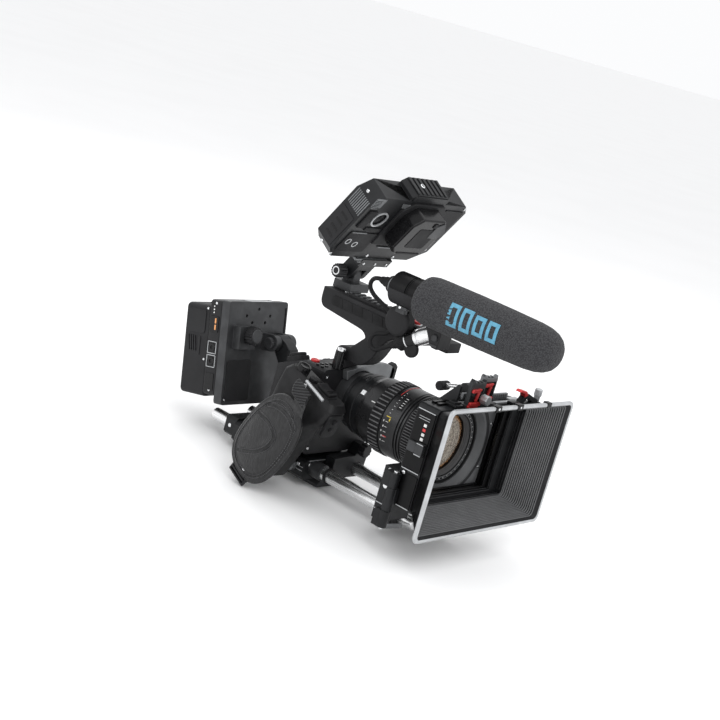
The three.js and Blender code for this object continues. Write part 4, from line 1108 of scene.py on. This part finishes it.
def curved_patch(radius, along, angles, thickness=0.5, steps=6):
    """A patch that lies on a cylinder along Y, between two places along it and two angles round it."""
    loops = []
    for i in range(steps + 1):
        a = math.radians(angles[0] + (angles[1] - angles[0]) * i / steps)
        spots = [(radius, along[0]), (radius + thickness, along[0]), (radius + thickness, along[1]),
                 (radius, along[1])]
        loops.append([(r * math.cos(a), y, r * math.sin(a)) for r, y in spots])
    return skin(loops)


def make_microphone():
    axis = Matrix.Translation((MIC_X, 0, MIC_Z))
    body = [(0, -236), (9.5, -236), (11, -232), (11, -104), (10.4, -102.6), (9.5, -102), (0, -102)]
    piece("mic_body_shell", "rig", "satin_black", [turned(body, "Y", sides=96)], axis,
          stands_for=["mic_body"])
    foam = piece("mic_windscreen_foam", "rig", "foam", [foam_skin()],
                 Matrix.Translation((MIC_X, -102, MIC_Z)), stands_for=["mic_windscreen"], angle=70)

    # A plain printed mark: four open frames, in place of lettering.
    mark = []
    for k in range(4):
        y0 = -192 - 16.5 * k
        low, high = (150, 204) if k < 2 else (154, 200)
        for span, angles in (((y0, y0 - 3.6), (low, high)), ((y0 - 9.4, y0 - 13), (low, high)),
                             ((y0, y0 - 13), (low, low + 9)), ((y0, y0 - 13), (high - 9, high))):
            mark.append(curved_patch(25.62 - 0.012 * k, span, angles, 0.45))
    piece("windscreen_mark", "rig", "blue_mark", mark, axis)
    from_cad("mic_holder", "soft_black", 0.8)
    clamp = []
    for y0, y1, r in ((-140, -131.5, 17.5), (-131, -129.5, 17.0), (-129, -127.5, 17.0), (-127, -106, 17.5)):
        loops = []
        for i in range(25):
            c, s = math.cos(math.pi * i / 24), math.sin(math.pi * i / 24)
            loops.append([(11.6 * c, y0, 11.6 * s + 0.15), (r * c - 0.3 * c, y0, r * s + 0.15),
                          (r * c, y0 + 0.5, r * s + 0.15),
                          (r * c, y1 - 0.5, r * s + 0.15), (r * c - 0.3 * c, y1, r * s + 0.15),
                          (11.6 * c, y1, 11.6 * s + 0.15)])
        clamp.append(skin(loops))
    piece("mic_clamp_shell", "mic_clamp", "satin_black", clamp, axis, stands_for=["mic_clamp"])
    bits = [block((-62, -57), (-131, -117), (238.5, 241.5), 0.5),
            block((-58, -52), (-126, -114), (233, 240), 0.6)]
    piece("mic_clamp_latch", "rig", "dark_metal", bits)
    piece("mic_clamp_screws", "rig", "screw_steel", [
        screw((-48, -113, 222), (-1, 0, 0), 3.0, 1.2), screw((-62, -122, 240), (-1, 0, 0), 1.6, 0.8),
    ])
    disc = turned([(0, -50.2), (12.5, -50.2), (14.5, -49.4), (16, -47.6), (16, -46), (0, -46)], "X",
                  (0, -113, 222), 64)
    piece("mic_lobe_cap", "rig", "soft_black", [disc])
    cap = [pin(8.4, (-43, -38), "X", (0, -136, 198), 1.2),
           block((-41.5, -39.5), (-140, -130), (204, 212), 0.7)]
    piece("socket_cap", "rig", "black_rubber", cap)


# ---------------------------------------------------------------- monitor


def make_monitor():
    from_cad("monitor_base", "dark_metal", 0.7)
    from_cad("tilt_head", "black_metal", 0.8)
    from_cad("monitor_cage", "black_metal", 1.4)
    from_cad("monitor_body", "soft_black", 1.5)
    from_cad("monitor_battery", "gloss_black", 2.2, segments=3)
    from_cad("monitor_screen", "display", 0.4)
    knob = knurled(8, (-30, -18), "X", (0, 0, 0), 16, 0.9, True)
    piece("tilt_knob_shell", "tilt_knob", "black_plastic",
          [knob, pin(4, (-18, -14.3), "X", (0, 0, 0), 0.4)], MONITOR, stands_for=["tilt_knob"])
    piece("tilt_knob_cap", "tilt_knob", "screw_steel",
          [turned([(3.6, -30.4), (4.8, -30.4), (4.8, -29.6), (3.6, -29.6)], "X", sides=32, closed=True)],
          MONITOR)
    piece("quick_release_plate", "monitor", "grey_metal", [
        block((-30, 26), (-8.2, 10.2), (27.0, 29.8), 0.5),
        block((-24, 20), (-8.8, -7.8), (24.6, 26.4), 0.3),
    ], MONITOR)

    # The cage's back: a frame round the display's case, a battery bracket, ports, screws and light edges.
    back = -6.0
    dark = [
        prism(rounded((-76, -30), (40, 70), 3), (back - 1.2, back + 0.2), "Y", 0.4),
        prism(rounded((44, 78), (66, 116), 3), (back - 1.2, back + 0.2), "Y", 0.4),
        prism([(-30, 56), (40, 56), (46, 64), (46, 112), (34, 122), (-18, 122), (-30, 110)],
              (back - 3.0, back + 0.2), "Y", 0.7),
        block((-60, -34), (back - 1.6, back + 0.2), (74, 79), 0.5),
        block((-76, -64), (back - 2.0, back + 0.2), (78, 104), 0.6),
    ]
    piece("monitor_back_panels", "monitor", "soft_black", dark, MONITOR)
    light = [
        block((-74, -50), (back - 1.5, back - 0.2), (69.4, 70.6), 0.1),
        block((-12, 18), (back - 1.5, back + 0.1), (49, 50.6), 0.1),
        block((46, 72), (back - 1.5, back + 0.1), (58.6, 60.0), 0.1),
        block((-82, -66), (back - 0.6, back + 0.2), (109, 122), 0.5),
        prism([(-36, 118.4), (-22, 118.4), (-24, 112.5), (-33, 112.5)], (back - 1.0, back + 0.2), "Y", 0.3),
    ]
    piece("monitor_back_lights", "monitor", "grey_metal", light, MONITOR)
    fins = [block((-81.5, -71.5), (back - 1.6, back + 0.2), (108 + 2.1 * k, 109 + 2.1 * k), 0.2)
            for k in range(7)]
    fins += [block((-84.7, -83.6), (-4 + 2.6 * k, -2.6 + 2.6 * k), (92, 112), 0.3) for k in range(9)]
    piece("monitor_fins", "monitor", "grey_metal", fins, MONITOR)
    side = [block((-84.8, -83.6), (-3, 19), (44, 86), 0.5), block((83.6, 84.8), (-3, 19), (50, 108), 0.5)]
    piece("monitor_side_pads", "monitor", "soft_black", side, MONITOR)
    slots = [block((-85.0, -84.6), (2, 14), (50 + 9 * k, 53 + 9 * k), 0.15) for k in range(4)]
    piece("monitor_side_slots", "monitor", "gloss_black", slots, MONITOR)
    rims = [turned([(8.9, back - 1.0), (11, back - 1.0), (11, back + 0.2), (8.9, back + 0.2)], "Y",
                   (-50, 0, 92), 64, True)]
    for x, z in ((-54, 52), (62, 46), (-68, 56)):
        rims.append(turned([(2.9, back - 1.5), (4.2, back - 1.5), (4.2, back + 0.2), (2.9, back + 0.2)],
                           "Y", (x, 0, z), 40, True))
    piece("monitor_port_rims", "monitor", "light_metal", rims, MONITOR)
    piece("monitor_port_bottom", "monitor", "gloss_black", [pin(8.7, (-4.4, -2.6), "Y", (-50, 0, 92), 0.3)],
          MONITOR)
    shoe = [block((-24 + 8 * k, -20 + 8 * k), (-4.5, 19), (133.4, 135.2), 0.4) for k in range(7)]
    shoe.append(prism(rounded((-26, 34), (124, 132), 2), (-6.6, -5.2), "Y", 0.4))
    piece("monitor_shoe_ribs", "monitor", "black_metal", shoe, MONITOR)
    screws = [screw((x, back, v), (0, -1, 0), 2.0, 0.8)
              for x, v in ((-76, 34), (76, 50), (76, 120), (-14, 34), (32, 34))]
    screws += [screw((-8, 7, 134.4), (0, 0, 1), 3.0, 1.6), screw((-84, 8, 38), (-1, 0, 0), 2.0, 0.8),
               screw((-84, 8, 118), (-1, 0, 0), 2.0, 0.8), screw((84, 8, 116), (1, 0, 0), 2.0, 0.8)]
    screws += [screw((x, -9.0, 23.5), (0, -1, 0), 1.8, 0.8) for x in (-12, 8, 28)]
    piece("monitor_screws", "monitor", "screw_steel", screws, MONITOR)
    piece("monitor_thumbscrew", "monitor", "black_plastic",
          [knurled(6, (84.2, 91), "X", (0, 8, 84), 14, 0.8, True)], MONITOR)
    pack = [block((-10, 30), (-27.7, -26.6), (64, 66), 0.3),
            prism(rounded((-6, 26), (74, 104), 3), (-27.6, -26.4), "Y", 0.4),
            block((10, 16), (-28.2, -27), (108, 114), 0.4)]
    piece("monitor_battery_panel", "monitor", "soft_black", pack, MONITOR)
    piece("monitor_battery_plate", "monitor", "dark_metal",
          [prism([(16, 92), (34, 92), (37, 98), (37, 104), (26, 116), (16, 110)], (-28.2, -26.8), "Y",
                 0.5)], MONITOR)
    bezel = plate_frame((-74, 74), (38, 116), (-69.5, 69.5), (42.5, 111.5), (20.6, 22.4))
    piece("monitor_screen_bezel", "monitor", "soft_black", bezel, MONITOR)
    keys = [pin(2.2, (21.6, 23.0), "Y", (-60 + 12 * k, 0, 39.8), 0.4, 20) for k in range(6)]
    piece("monitor_keys", "monitor", "gloss_black", keys, MONITOR)


def plate_frame(x, z, inner_x, inner_z, span):
    """Four bars round a rectangular window."""
    return [
        block((x[0], inner_x[0]), span, z, 0.3), block((inner_x[1], x[1]), span, z, 0.3),
        block((inner_x[0], inner_x[1]), span, (z[0], inner_z[0]), 0.3),
        block((inner_x[0], inner_x[1]), span, (inner_z[1], z[1]), 0.3),
    ]


# ---------------------------------------------------------------- battery plate


def make_battery():
    from_cad("rear_rod_clamp", "black_metal", 0.9)
    from_cad("battery_arm", "black_metal", 1.0)
    from_cad("battery_plate", "dark_metal", 1.0)
    from_cad("power_hub", "black_plastic", 1.8, segments=3)
    from_cad("v_battery", "soft_black", 3.0, segments=4)
    piece("tilt_lock_knob_shell", "tilt_lock_knob", "black_plastic",
          [knurled(11, (-7, 3.4), "Y", (-24, 0, 9), 18, 1.2, True),
           pin(7, (3.2, 4.7), "Y", (-24, 0, 9), 0.3)],
          BATTERY, stands_for=["tilt_lock_knob"])
    piece("tilt_lock_cap", "tilt_lock_knob", "dark_metal",
          [turned([(0, -7.8), (7.6, -7.8), (8.2, -7.2), (8.2, -6.6), (0, -6.6)], "Y", (-24, 0, 9), 48)],
          BATTERY)
    piece("hinge_bolt", "rig", "dark_metal",
          [turned([(0, 9.2), (7, 9.2), (7.6, 9.8), (7.6, 17.6), (0, 17.6)], "X", (0, 96, 119), 32),
           knurled(6.8, (3.4, 8.6), "X", (0, 96, 119), 20, 0.5)])
    # A short pale strip on the plate's top edge: a painted glint.
    edge = [block((-14, 24), (16.4, 27.6), (46.2, 47.3), 0.3)]
    piece("plate_top_glint", "battery_mount", "light_metal", edge, BATTERY)
    face = [prism(rounded((-46, -6), (-70, -22), 3), (14.6, 16.0), "Y", 0.4),
            prism(rounded((46, 48), (-60, 40), 0.8), (14.6, 16.0), "Y", 0.3)]
    piece("plate_face_panels", "battery_mount", "soft_black", face, BATTERY)
    screws = [screw((x, 15.7, v), (0, -1, 0), 2.2, 0.9) for x, v in ((-44, -68), (44, -68))]
    screws += [screw((-50, 37, -60), (-1, 0, 0), 1.6, 0.7), screw((-50, 37, 42), (-1, 0, 0), 1.6, 0.7),
               screw((50, 37, -60), (1, 0, 0), 1.6, 0.7), screw((50, 37, 42), (1, 0, 0), 1.6, 0.7)]
    piece("plate_screws", "battery_mount", "screw_steel", screws, BATTERY)
    piece("rear_clamp_screws", "rig", "screw_steel",
          [screw((x, 88, 28), (0, 1, 0), 2.0, 0.9) for x in (-12, 0, 12)]
          + [screw((-43, 80, 24), (-1, 0, 0), 2.4, 1.0), screw((43, 80, 24), (1, 0, 0), 2.4, 1.0)])

    # The hub's near side: lights, a scale, a recess with contacts and two round outlets in pale frames.
    side = -50.0
    lights = [pin(0.9, (side - 0.5, side + 0.3), "X", (0, 40, v), 0.2, 20) for v in (38, 34.4, 30.8)]
    ticks = [block((side - 0.4, side + 0.2), (38.5, 41.5), (14 + 1.7 * k, 14.5 + 1.7 * k), 0.05)
             for k in range(7)]
    piece("hub_lights", "battery_mount", "white_mark", lights + ticks, BATTERY)
    frames = []
    for v in (-10, -26):
        frames += [block((side - 0.8, side + 0.2), (31, 45), (v + 6.4, v + 7.2), 0.1),
                   block((side - 0.8, side + 0.2), (31, 45), (v - 7.2, v - 6.4), 0.1),
                   block((side - 0.8, side + 0.2), (31, 31.8), (v - 7, v + 7), 0.1),
                   block((side - 0.8, side + 0.2), (44.2, 45), (v - 7, v + 7), 0.1)]
    piece("hub_outlet_frames", "battery_mount", "light_metal", frames, BATTERY)
    jacks = [turned([(2.2, side - 0.9), (4.6, side - 0.9), (4.9, side - 0.5), (4.9, side + 0.3),
                     (2.2, side + 0.3)], "X", (0, 38, v), 40, True) for v in (-10, -26)]
    jacks.append(prism(rounded((31, 45), (8, 27), 2), (side - 0.9, side + 0.3), "X", 0.4))
    jacks += [block((side - 0.7, side + 0.2), (31, 45), (-60, -40), 0.4),
              block((49.8, 50.9), (31, 45), (-30, 30), 0.4)]
    piece("hub_sockets", "battery_mount", "gloss_black", jacks, BATTERY)
    piece("hub_contacts", "battery_mount", "copper",
          [block((side - 1.5, side - 0.6), (34, 36.4), (v, v + 6), 0.3) for v in (11, 18.5)], BATTERY)
    left = -48.0
    label = [prism(rounded((54, 82), (4, 32), 3), (left - 0.9, left + 0.3), "X", 0.4),
             block((left - 0.8, left + 0.3), (60, 63.5), (-22, 0), 0.4)]
    label += [prism([(66 + 3.6 * k, -18), (67.8 + 3.6 * k, -18), (70.6 + 3.6 * k, 0), (68.8 + 3.6 * k, 0)],
                    (left - 1.1, left + 0.2), "X", 0.2) for k in range(4)]
    piece("battery_near_panels", "v_battery", "black_plastic", label, BATTERY)
    back = [prism(rounded((-38, 38), (-58, 28), 5), (87.4, 88.8), "Y", 0.4)]
    back += [block((-34, 34), (88.4, 89.4), (-50 + 5 * k, -48 + 5 * k), 0.3) for k in range(5)]
    right = [prism(rounded((54, 82), (-56, 30), 4), (47.7, 48.9), "X", 0.4)]
    top = [block((-20, 20), (60, 78), (37.6, 39.0), 0.5), block((-8, 8), (50, 56), (37.6, 39.6), 0.5)]
    piece("battery_back_panels", "v_battery", "black_plastic", back + right + top, BATTERY)
    piece("battery_screws", "v_battery", "screw_steel",
          [screw((left, 52, v), (-1, 0, 0), 1.4, 0.6) for v in (-26, 34)]
          + [screw((48, 52, v), (1, 0, 0), 1.4, 0.6) for v in (-64, 34)], BATTERY)
    gauge = [pin(0.8, (88.6, 89.6), "Y", (-12 + 6 * k, 0, 14), 0.2, 16) for k in range(5)]
    piece("battery_gauge", "v_battery", "white_mark", gauge, BATTERY)


# ---------------------------------------------------------------- hand grip and strap


def make_grip():
    from_cad("side_grip", "grip_rubber", 1.2, segments=3)
    piece("grip_button_shell", "grip_button", "gloss_black",
          [turned([(0, 32), (8, 32), (8, 38.6), (7.4, 39.6), (6.2, 40), (5, 39.8), (0, 39.4)], "Z",
                  (-20, 17, 0), 64)],
          GRIP, stands_for=["grip_button"])
    rocker = prism([(-33, 37.4), (-31, 39.4), (-26, 38.8), (-22.5, 38.2), (-19, 38.8), (-14, 39.8),
                    (-12, 38), (-12, 36), (-33, 36)], (-26, -12), "X", 0.7)
    ridges = [block((-25, -13), (-31 + 1.6 * k, -30.3 + 1.6 * k), (38.6, 39.9), 0.2) for k in range(3)]
    piece("zoom_rocker_shell", "zoom_rocker", "black_plastic", [rocker] + ridges, GRIP,
          stands_for=["zoom_rocker"])
    piece("rocker_base", "grip", "soft_black",
          [prism(rounded((-27, -11), (-35, -10), 3), (33.2, 35.0), "Z", 0.5)], GRIP)
    top = [prism(rounded((-28, -8), (-8, 27), 6), (33.4, 34.6), "Z", 0.5)]
    front = [prism(rounded((-31, -9), (-4, 25), 5), (-52.0, -49), "Y", 0.8)]
    piece("grip_top_plate", "grip", "gloss_black", top, GRIP)
    piece("grip_nose_plate", "grip", "black_plastic", front, GRIP)
    keys = [pin(3.2, (-53.6, -51.4), "Y", (-20, 0, 16), 0.6),
            pin(2.4, (-53.2, -51.4), "Y", (-20, 0, 6), 0.5)]
    keys.append(knurled(5, (33.8, 37.4), "Z", (-20, -2, 0), 20, 0.4))
    piece("grip_keys", "grip", "black_plastic", keys, GRIP)
    rosette = [turned([(12, -12.6), (19, -12.6), (19, -11.8), (12, -11.8)], "X", sides=96, closed=True)]
    for k in range(48):
        spoke = block((-13.0, -12.4), (-0.35, 0.35), (12.4, 18.6), 0.1)
        rosette.append(moved(spoke, Matrix.Rotation(2 * math.pi * k / 48, 4, "X")))
    piece("grip_rosette_teeth", "grip", "light_metal",
          [moved(r, Matrix.Translation((15.0, 0, 0))) for r in rosette], GRIP)

    # The strap's bracket on the grip: a pale textured bar and two clip bits.
    bar = tube([(-98.2, -57.5, 134.2), (-98.6, -66, 131), (-98.8, -78, 126.6), (-98.4, -86, 123)], 1.9, 12)
    piece("strap_bracket", "grip", "light_metal", [bar])
    bits = [block((-100.4, -97.4), (-60.5, -56.5), (126, 131), 0.5),
            block((-100.2, -97.6), (-66, -62), (119, 123), 0.5)]
    piece("strap_clip_bits", "grip", "screw_steel", bits)


PAD_CENTRE = Vector((-121, -43.5, 65))
PAD_LEAN = math.radians(27)


def pad_point(v, w, out):
    """A point of the strap pad: v along it, w across it, out away from the hand."""
    return (PAD_CENTRE.x - out, PAD_CENTRE.y - v * math.sin(PAD_LEAN) + w * math.cos(PAD_LEAN),
            PAD_CENTRE.z + v * math.cos(PAD_LEAN) + w * math.sin(PAD_LEAN))


def pad_edge(t, scale=1.0):
    """The pad's outline as (v, w), a soft oval with a fuller middle."""
    a = 2 * math.pi * t
    v = 55.5 * math.copysign(abs(math.sin(a)) ** 0.82, math.sin(a))
    w = 33.5 * math.copysign(abs(math.cos(a)) ** 0.80, math.cos(a)) * (1 - 0.06 * math.sin(a))
    return v * scale - 1.5, w * scale


def pad_seams():
    """The seams across the cover: a curved one round the palm's panel, and one below the webbing."""
    palm = [(13, 24), (17, 10), (16, -4), (10, -11), (-3, -11), (-18, -4), (-31, 8), (-38, 16)]
    top = [(30, 22), (38, 10), (41, -3), (40, -15), (37, -21)]
    return [smooth_path([(v, w, 0) for v, w in line], 8) for line in (palm, top)]


def make_strap():
    count = 144
    rng = random.Random(11)
    phases = [(rng.uniform(0.04, 0.16), rng.uniform(0.05, 0.2), rng.uniform(0, 6.3)) for _ in range(6)]
    seams = pad_seams()

    def crown(scale, v, w):
        """How far the cover stands out: crowned, pressed in along its seams, gently creased."""
        swell = 6.6 * (1 - scale ** 3.4)
        border = 1.3 * math.exp(-((scale - 0.86) / 0.022) ** 2)
        near = min((Vector((v, w, 0)) - q).length for line in seams for q in line)
        pull = 1.7 * math.exp(-(near / 1.7) ** 2)
        crease = sum(0.15 * math.sin(fv * v * 3 + fw * w * 3 + p) for fv, fw, p in phases)
        return swell - border - pull + crease * (1 - scale)

    outer = []
    for step in range(45):
        scale = 0.04 + 0.96 * step / 44
        loop = []
        for i in range(count):
            v, w = pad_edge(i / count, scale)
            loop.append(pad_point(v, w, crown(scale, v, w) - 0.4))
        outer.append(loop)
    back = []
    for scale, out in ((1.0, -3.4), (0.95, -5.0), (0.8, -5.8), (0.5, -6.0), (0.2, -6.0), (0.06, -6.0)):
        back.append([pad_point(*pad_edge(i / count, scale), out) for i in range(count)])
    cover = piece("strap_pad_cover", "grip", "leather", [skin(outer + back)], stands_for=["strap_pad"],
                  angle=80)
    edge_path = [pad_point(*pad_edge(i / count, 0.985), -1.8) for i in range(count)]
    piece("strap_pad_piping", "grip", "leather", [closed_tube(edge_path, 2.2, 12)], angle=60)
    stitches = []
    for scale in (0.895, 0.825):
        total = int(120 * scale)
        for k in range(total):
            ends = []
            for part in (0.18, 0.78):
                v, w = pad_edge((k + part) / total, scale)
                ends.append(pad_point(v, w, crown(scale, v, w) - 0.15))
            stitches.append(tube(ends, 0.36, 6))
    for line in seams:
        for side in (-2.6, 2.6):
            rail = []
            for i, q in enumerate(line):
                ahead = (line[min(i + 1, len(line) - 1)] - line[max(i - 1, 0)]).normalized()
                rail.append(q + Vector((-ahead.y, ahead.x, 0)) * side)
            for first, second in zip(rail, rail[1:]):
                ends = []
                for part in (0.1, 0.75):
                    q = first.lerp(second, part)
                    scale = max(abs(q.x + 1.5) / 55.5, abs(q.y) / 33.5)
                    ends.append(pad_point(q.x, q.y, crown(min(scale, 1.0), q.x, q.y) - 0.1))
                stitches.append(tube(ends, 0.36, 6))
    piece("strap_pad_stitches", "grip", "thread", stitches)

    across = (0, math.cos(PAD_LEAN), math.sin(PAD_LEAN))
    upper = [(-98.4, -57.5, 127.5), (-104, -59.5, 126), (-112, -63.5, 122.5), (-118.6, -69.2, 117.2)]
    lower = [(-119.6, -17, 12.8), (-117, -15.6, 9.6), (-110, -15.2, 9.4), (-104.5, -16.2, 13.4),
             (-102.4, -18.6, 21)]
    piece("strap_upper_webbing", "grip", "webbing", [ribbon(smooth_path(upper, 8), 12, 2.2, across)],
          stands_for=["strap_upper"], angle=50)
    piece("strap_lower_webbing", "grip", "webbing", [ribbon(smooth_path(lower, 8), 11, 2.2, across)],
          stands_for=["strap_lower"], angle=50)
    flap = [(-100.4, -62, 124.4), (-106, -64.6, 122.2), (-114, -69.6, 118.2), (-120.2, -74.2, 112.4),
            (-122.6, -76.6, 106.5)]
    piece("strap_flap", "grip", "leather", [ribbon(smooth_path(flap, 6), 9.5, 1.6, across)], angle=50)
    tail = [(-120.8, -19.5, 15.5), (-121.6, -21.5, 20), (-121.8, -24, 26)]
    piece("strap_tail", "grip", "leather", [ribbon(smooth_path(tail, 6), 10, 1.6, across)], angle=50)
    turn = Matrix.Translation((-118.6, -17.6, 12.5)) @ Matrix.Rotation(PAD_LEAN, 4, "X")
    buckle = [block((-2.6, 1.2), (-12.5, 12.5), (-6.5, -4.2), 0.8),
              block((-2.6, 1.2), (-12.5, 12.5), (3.2, 5.2), 0.8),
              block((-2.6, 1.2), (-13.4, -11.2), (-6.5, 5.2), 0.8),
              block((-2.6, 1.2), (11.2, 13.4), (-6.5, 5.2), 0.8),
              block((-3.2, -1.2), (-11.6, 11.6), (-1.4, 0.8), 0.6)]
    piece("strap_buckle", "grip", "black_plastic", [moved(b, turn) for b in buckle])
    piece("strap_rivet", "grip", "screw_steel", [screw((-123.0, -26, 21), (-1, 0, 0), 2.0, 0.6, False)])


def ribbon(points, half_width, thickness, across):
    """A flat strap along points, its width in one direction all the way, with softened edges."""
    side = Vector(across).normalized()
    loops = []
    for i, point in enumerate(points):
        ahead = (points[min(i + 1, len(points) - 1)] - points[max(i - 1, 0)]).normalized()
        normal = ahead.cross(side).normalized()
        corners = [(-1, -0.5), (-0.96, -1), (0.96, -1), (1, -0.5), (1, 0.5), (0.96, 1), (-0.96, 1),
                   (-1, 0.5)]
        loops.append([point + side * (s * half_width) + normal * (f * thickness / 2) for s, f in corners])
    return skin(loops)


def closed_tube(points, radius, sides):
    """A round tube along a closed loop of points."""
    path = [Vector(p) for p in points]
    loops = []
    for i, point in enumerate(path):
        ahead = (path[(i + 1) % len(path)] - path[i - 1]).normalized()
        side = Vector((1, 0, 0))
        side = (side - ahead * side.dot(ahead)).normalized()
        over = ahead.cross(side)
        loops.append([point + (side * math.cos(a) + over * math.sin(a)) * radius
                      for a in (2 * math.pi * k / sides for k in range(sides))])
    return skin(loops, closed=True)


# ---------------------------------------------------------------- studio


def area_light(name, place, target, size, power, color=(1, 1, 1)):
    data = bpy.data.lights.new(name, "AREA")
    data.shape = "RECTANGLE"
    data.size, data.size_y = size
    data.energy = power
    data.color = color
    light = bpy.data.objects.new(name, data)
    light.location = place
    light.rotation_mode = "QUATERNION"
    light.rotation_quaternion = (Vector(target) - Vector(place)).to_track_quat("-Z", "Y")
    bpy.context.scene.collection.objects.link(light)


def make_studio():
    world = bpy.data.worlds.new("studio")
    world.use_nodes = True
    world.node_tree.nodes["Background"].inputs["Color"].default_value = (0.97, 0.975, 0.985, 1)
    world.node_tree.nodes["Background"].inputs["Strength"].default_value = 1.0
    bpy.context.scene.world = world
    bpy.context.scene.view_settings.view_transform = "Standard"
    floor = bmesh.new()
    bmesh.ops.create_grid(floor, x_segments=1, y_segments=1, size=80)
    mesh = bpy.data.meshes.new("floor")
    floor.to_mesh(mesh)
    floor.free()
    pale = Nodes("pale_floor", (0.93, 0.93, 0.93), 0.85)
    pale.drive("Base Color", pale.ramp(pale.noise(3, 3), (0.93, 0.93, 0.93), (0.945, 0.945, 0.945)))
    mesh.materials.append(pale.material)
    ground = bpy.data.objects.new("floor", mesh)
    ground.location = (0, 0, -0.0005)
    bpy.context.scene.collection.objects.link(ground)
    area_light("key", (-1.1, -1.4, 1.7), (0, -0.05, 0.15), (1.2, 1.2), 15)
    area_light("fill", (-1.9, 0.6, 0.9), (0, 0, 0.15), (1.2, 1.0), 5)
    area_light("top", (0.2, 0.1, 1.9), (0, 0, 0.15), (1.6, 1.6), 9)
    area_light("front", (0.9, -1.7, 0.7), (0, -0.1, 0.12), (0.9, 1.0), 4)
    area_light("rim", (0.6, 1.7, 1.1), (0, 0, 0.2), (1.2, 0.8), 6)


make_camera()
make_cable()
make_base()
make_body()
make_lens()
make_hood()
make_matte_box()
make_handle()
make_microphone()
make_monitor()
make_battery()
make_grip()
make_strap()
make_studio()
